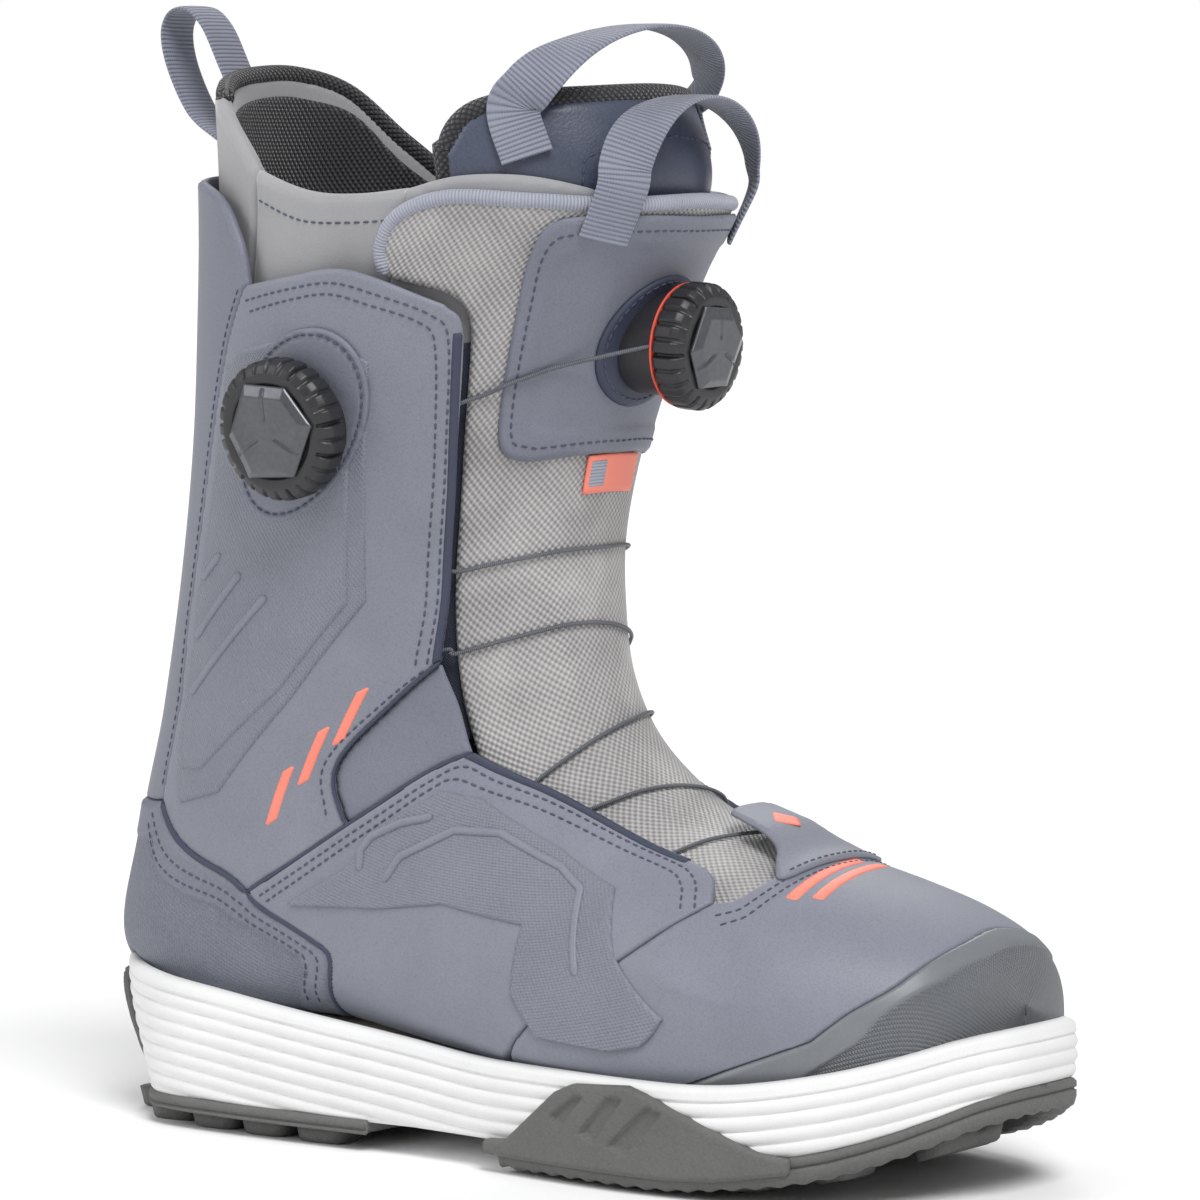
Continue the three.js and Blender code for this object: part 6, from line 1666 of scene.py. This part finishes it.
@dataclass
class Dial:
    """One lace dial: flange, housing, drum, core, knob, pawl ring and faceted badge."""

    name: str
    where: DialFrame
    radius: float
    teeth: int
    foot: float
    base: str

    def build(self) -> None:
        """Builds the turned pieces and the badge."""
        wall = self.radius - 3.0
        housing = rounded(((2.6, self.foot), (wall, self.foot), (wall, 8.8), (wall - 2.4, 8.8), (wall - 2.4, 3.8),
            (2.6, 3.8)), 0.5)
        self.keep(spun(f"{self.name}_housing_shell", housing, self.where, BLACK, 120, ripple=lambda q,
            f: np.zeros_like(q)), "housing", self.base)
        drum = wall - 5.0
        spool = rounded(((2.55, 4.15), (drum, 4.15), (drum, 4.9), (drum - 3.4, 5.4), (drum - 3.4, 7.0), (drum, 7.4),
            (drum, 8.2), (2.55, 8.2)), 0.2, 3)
        self.keep(spun(f"{self.name}_drum_turned", spool, self.where, BLACK, 64), "spool", f"{self.name}_drum")
        core = rounded(((0.3, 4.15), (2.2, 4.15), (2.2, 8.6), (5.5, 8.6), (5.5, 9.6), (2.2, 9.6), (2.2, 12.4),
            (0.3, 12.4)), 0.2, 3)
        self.keep(spun(f"{self.name}_core_turned", core, self.where, STEEL, 48), "core", f"{self.name}_puller")
        self.knob()
        pawls = rounded(((6.0, 8.5), (wall - 3.2, 8.5), (wall - 3.2, 9.4), (6.0, 9.4)), 0.2, 3)
        ring = spun(f"{self.name}_pawl_ring_moulded", pawls, self.where, CORAL_PLASTIC, 96,
                    ripple=lambda q, f: -0.7 * (np.mod(q * 12 / (2 * math.pi), 1) < 0.5) * (f > 0.3) * (f < 0.7))
        self.keep(ring, "pawl_ring", f"{self.name}_grip")
        self.badge()
        LOG.info("dial %s", self.name)

    def keep(self, piece: bpy.types.Object, node: str, body: str) -> None:
        """A piece stands for one of the dial's CAD nodes and rides on a body."""
        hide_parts(f"{self.name}_{node}")
        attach(piece, body)

    def knob(self) -> None:
        """The grip: a turned cap whose side has fine teeth in groups, with a bevelled top ring.

        The radius sinks by up to 0.9 mm between teeth, smoothed, and by 1.6 mm at every fourth gap.
        """
        r = self.radius
        profile = rounded(((r - 2.5, 4.7), (r - 0.7, 4.7), (r, 5.6), (r, 10.6), (r - 1.2, 12.3), (r - 3.4, 13.4),
            (r - 6.0, 13.4), (r - 6.5, 12.7),
                           (2.55, 12.7), (2.55, 10.2), (r - 2.5, 10.2)), 0.5, 4)
        count = self.teeth

        def ripple(angle: np.ndarray, share: np.ndarray) -> np.ndarray:
            """Tooth gaps round the side only."""
            phase = np.mod(angle * count / (2 * math.pi), 1)
            gap = smoothstep((0.32 - np.abs(phase - 0.5) * 1.0) / 0.14 - 0.8)
            group = np.mod(np.floor(angle * count / (2 * math.pi)), 4) == 0
            side = smoothstep((share - 0.06) / 0.05) * smoothstep((0.50 - share) / 0.08)
            return -gap * np.where(group, 1.7, 0.9) * side

        self.keep(spun(f"{self.name}_knob_grip", profile, self.where, BLACK, count * 16, ripple=ripple), "knob",
            f"{self.name}_grip")

    def badge(self) -> None:
        """The cap on the knob: an uneven six-sided plate whose height is the least of its bevel planes.

        Height at (x, y) is min(top, slope_k (reach_k - n_k . (x, y))) over the sides k; three shallow
        spokes are cut where |sin(1.5 q)| is small.
        """
        corners = np.radians([8, 62, 118, 185, 238, 302])
        reach = np.array([1.0, 0.94, 1.0, 0.92, 1.0, 0.95]) * (self.radius - 4.4)
        edge = np.stack([np.cos(corners) * reach, np.sin(corners) * reach], -1)
        ahead = np.roll(edge, -1, 0) - edge
        out = np.stack([ahead[:, 1], -ahead[:, 0]], -1)
        out /= np.linalg.norm(out, axis=1, keepdims=True)
        apothem = (edge * out).sum(1)
        angle = np.arange(180) / 180 * 2 * math.pi
        ray = np.stack([np.cos(angle), np.sin(angle)], -1)
        facing = ray @ out.T
        limit = np.where(facing > 1e-6, apothem / np.maximum(facing, 1e-6), 1e9).min(1)
        share = np.linspace(0, 1, 26)[:, None]
        xy = ray[None] * (limit[None, :] * share)[..., None]
        slopes = np.array([0.75, 0.5, 0.75, 0.5, 0.75, 0.5])
        planes = slopes * (apothem - xy @ out.T)
        height = np.minimum(planes.min(-1), 1.5)
        spoke = smoothstep(1 - np.abs(np.sin(1.5 * (angle + 0.5)))[None] * limit[None, :] * share / 1.1)
        height = height - 0.45 * spoke * smoothstep((share - 0.2) / 0.1) * (share < 0.93)
        base = 13.5
        top = np.concatenate([xy, (base + 0.7 + height)[..., None]], -1)
        skirt = np.concatenate([xy[-1:], np.full((1, 180, 1), base)], -1)
        floor = np.concatenate([xy[-1:] * 0, np.full((1, 180, 1), base)], -1)
        points = np.concatenate([top, skirt, floor])
        piece = to_object(f"{self.name}_badge_cap", self.where.place(points.reshape(-1, 3)),
            [grid_faces(len(points), 180, wrap=True)], BADGE)
        self.keep(welded(piece), "badge", f"{self.name}_grip")


@dataclass
class Dials:
    """The two dials and their flanges."""

    side: Dial = field(default_factory=lambda: Dial("side_dial",
        DialFrame((49.87, -54.53, 195.44), (-0.00375, -0.99103, -0.13358)), 19.0, 26, -3.4, "boot"))
    front: Dial = field(default_factory=lambda: Dial("front_dial",
        DialFrame((131.99, 0.0, 216.85), (0.99755, 0.0, -0.06994)), 17.0, 24, -8.5, "shell_tongue"))

    def build(self) -> None:
        """Builds both dials, the stitched oval flanges under them and the coral skirt of the front one."""
        angle = np.arange(64) / 64 * 2 * math.pi
        oval = lambda t, s, rows, columns: np.stack([t + rows * np.cos(angle), s + columns * np.sin(angle)], -1)
        side_ring = oval(13.95, 0.515, 0.86, 0.1)
        grooves = tuple(Relief(tuple(map(tuple, oval(13.95, 0.515, 0.86 * k, 0.1 * k)[::2])), -0.5, 0.3, 0.5,
            closed=False) for k in (0.93,))
        flange = Panel("side_dial_flange_ring", side_ring, level(2.0), level(0.4), SHELL_LOW, 0.9, 0.8, grooves).build()
        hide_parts("side_dial_flange")
        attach(flange, "boot")
        front_ring = oval(14.3, 0.0, 0.74, 0.115)
        seat = raised(tongue_depth, SHIELD_LIFT)
        flange = Panel("front_dial_flange_ring", front_ring, raised(seat, 1.1), raised(seat, -0.4), PIPING, 0.9,
            0.8).build()
        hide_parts("front_dial_flange")
        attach(flange, "shell_tongue")
        run = tuple(map(tuple, oval(14.3, 0.0, 0.67, 0.103)))
        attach(stitches("front_flange_stitching", [run + run[:1]], raised(seat, 1.1), THREAD_DARK), "shell_tongue")
        run = tuple(map(tuple, oval(13.95, 0.515, 0.8, 0.092)))
        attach(stitches("side_flange_stitching", [run + run[:1]], level(2.0), THREAD_DARK), "boot")
        self.side.build()
        self.front.build()
        skirt = rounded(((14.5, 4.0), (16.6, 4.0), (16.6, 4.6), (14.5, 4.6)), 0.2, 3)
        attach(spun("front_dial_skirt", skirt, self.front.where, CORAL_PLASTIC, 96), "front_dial_grip")


@dataclass
class Laces:
    """The two coated cables, laid over the tongue and under the shell's edges."""

    diameter: float = 1.15

    def line(self, stops: Sequence[tuple[float, float, float]], spacing: float = 1.2) -> tuple[np.ndarray, np.ndarray]:
        """Points of a lace through stops (t, s, over), over being 1 on the tongue and 0 under the shell.

        Args:
            stops: where it goes.
            spacing: millimetres between points.

        Returns:
            Points and normals.
        """
        flat = catmull(np.asarray(stops, float), 14)
        over = np.clip(flat[:, 2], 0, 2)
        top = tongue_depth(flat[:, 0], flat[:, 1]) + self.diameter / 2 + 0.35 + np.maximum(over - 1, 0) * SHIELD_LIFT
        depth = top * np.clip(over, 0, 1) + -(2.6 + self.diameter / 2 + 0.5) * (1 - np.clip(over, 0, 1))
        at = FORM.point(flat[:, 0], flat[:, 1], depth)
        length = np.linalg.norm(np.diff(at, axis=0), axis=1).sum()
        both = resample(np.hstack([at, FORM.normal(flat[:, 0], flat[:, 1])]), int(length / spacing) + 2)
        return both[:, :3], both[:, 3:]

    def build(self) -> None:
        """Lays both laces."""
        radius = self.diameter / 2
        frame_front = Dials().front.where
        for way, side in ((1, "lateral"), (-1, "medial")):
            ports = frame_front.place(np.array([[-way * 9.0, 0, 6.2], [-way * 12.5, 0, 5.6], [-way * 16.5, -0.5, 2.2]]))
            stops = [(14.12, way * 0.17, 2), (14.05, way * 0.21, 2), (13.98, way * 0.245, 1.9),
                (13.93, way * 0.262, 1), (13.9, way * 0.278, 1),
                     (13.86, way * 0.30, 0), (13.6, way * 0.34, 0)]
            line, up = self.line(stops)
            line = resample(catmull(np.vstack([ports, line[::6]]), 10), 70)
            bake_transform(tube(f"front_lace_{side}", line, np.tile([0.8, -0.6 * way, 0.0], (len(line), 1)), radius, LACE,
                8))
        low = [(12.05, 0.30, 0), (12.0, 0.278, 0.6), (11.97, 0.262, 1), (11.85, 0.12, 1), (11.8, 0.0, 1),
            (11.85, -0.12, 1), (11.97, -0.262, 1), (12.0, -0.278, 0.6), (12.05, -0.30, 0)]
        line, up = self.line(low)
        piece = tube("front_lace_crossing", line, up, radius, LACE, 8)
        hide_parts("front_lace")
        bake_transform(piece)
        runs = {
            "lower_lace_ankle": [(11.2, 0.32, 0), (11.1, 0.285, 0.7), (11.0, 0.265, 1), (10.7, 0, 1),
            (10.4, -0.265, 1), (10.3, -0.285, 0.7), (10.2, -0.32, 0)],
            "lower_lace_upper": [(9.95, -0.345, 0), (9.7, -0.33, 0), (9.5, -0.27, 1), (9.15, 0, 1), (8.85, 0.225, 1),
            (8.65, 0.28, 0), (8.4, 0.3, 0)],
            "lower_lace_middle": [(8.4, 0.3, 0), (8.15, 0.27, 0), (8.0, 0.2, 1), (7.7, 0, 1), (7.35, -0.185, 1),
            (7.2, -0.235, 0), (6.95, -0.25, 0)],
            "lower_lace_toe": [(6.95, -0.25, 0), (6.7, -0.225, 0), (6.6, -0.17, 1), (6.32, -0.06, 1.2), (6.22, 0, 1.3),
            (6.32, 0.06, 1.2), (6.6, 0.17, 1), (6.75, 0.225, 0), (6.95, 0.26, 0)],
        }
        for name, stops in runs.items():
            line, up = self.line(stops)
            piece = tube(name, line, up, radius, LACE, 8)
            if name == "lower_lace_ankle":
                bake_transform(piece)
            else:
                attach(piece, "boot")
            if name == "lower_lace_toe":
                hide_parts("lower_lace")
        LOG.info("laces")


@dataclass
class Studio:
    """Camera, floor and soft lights."""

    eye: tuple[float, float, float] = (1.0337, -1.3231, 0.2659)
    look: tuple[float, float, float] = (0.0575, 0.0733, 0.1411)
    lens: float = 181.05

    def build(self) -> None:
        """Sets the camera, the pale floor, the world and three soft sun lights."""
        camera = bpy.data.objects.new("camera", bpy.data.cameras.new("camera"))
        camera.data.lens = self.lens
        camera.data.sensor_width = 36
        camera.data.clip_end = 20
        camera.location = self.eye
        camera.rotation_euler = (Vector(self.look) - Vector(self.eye)).to_track_quat("-Z", "Y").to_euler()
        bpy.context.scene.collection.objects.link(camera)
        bpy.context.scene.camera = camera
        floor = bpy.data.meshes.new("floor")
        floor.from_pydata([(-60, -60, 0), (60, -60, 0), (60, 60, 0), (-60, 60, 0)], [], [(0, 1, 2, 3)])
        material = bpy.data.materials.new("pale_floor")
        material.use_nodes = True
        shader = material.node_tree.nodes["Principled BSDF"]
        shader.inputs["Base Color"].default_value = (0.94, 0.94, 0.94, 1)
        shader.inputs["Roughness"].default_value = 0.95
        shader.inputs["Specular IOR Level"].default_value = 0.1
        floor.materials.append(material)
        ground = bpy.data.objects.new("floor", floor)
        bpy.context.scene.collection.objects.link(ground)
        world = bpy.data.worlds.new("studio")
        world.use_nodes = True
        kit = NodeKit(world.node_tree)
        back_light = world.node_tree.nodes["Background"]
        back_light.inputs[0].default_value = (1, 1, 1, 1)
        seen = world.node_tree.nodes.new("ShaderNodeLightPath").outputs["Is Camera Ray"]
        world.node_tree.links.new(kit.maths("MULTIPLY_ADD", seen, 0.62, 0.38), back_light.inputs[1])
        bpy.context.scene.world = world
        bpy.context.scene.view_settings.view_transform = "Standard"
        for name, toward, strength, spread in (("key", (0.75, -0.55, 1.25), 2.3, 0.5),
            ("fill", (-1.0, -0.9, 0.75), 0.8, 0.6), ("rim", (-0.7, 1.0, 0.9), 0.7, 0.5)):
            light = bpy.data.objects.new(name, bpy.data.lights.new(name, "SUN"))
            light.data.energy = strength
            light.data.angle = spread
            light.rotation_euler = Vector(toward).to_track_quat("Z", "Y").to_euler()
            bpy.context.scene.collection.objects.link(light)


def main() -> None:
    """Builds the studio and the boot's sub-assemblies in order."""
    logging.basicConfig(level=logging.INFO, format="%(message)s")
    np.random.seed(4)
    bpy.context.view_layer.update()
    for part in (Studio(), SoleUnit(), ShellUpper(), Tongue(), Liner(), Dials(), Laces()):
        part.build()
        LOG.info("built %s", type(part).__name__)


if __name__ == "__main__":
    main()
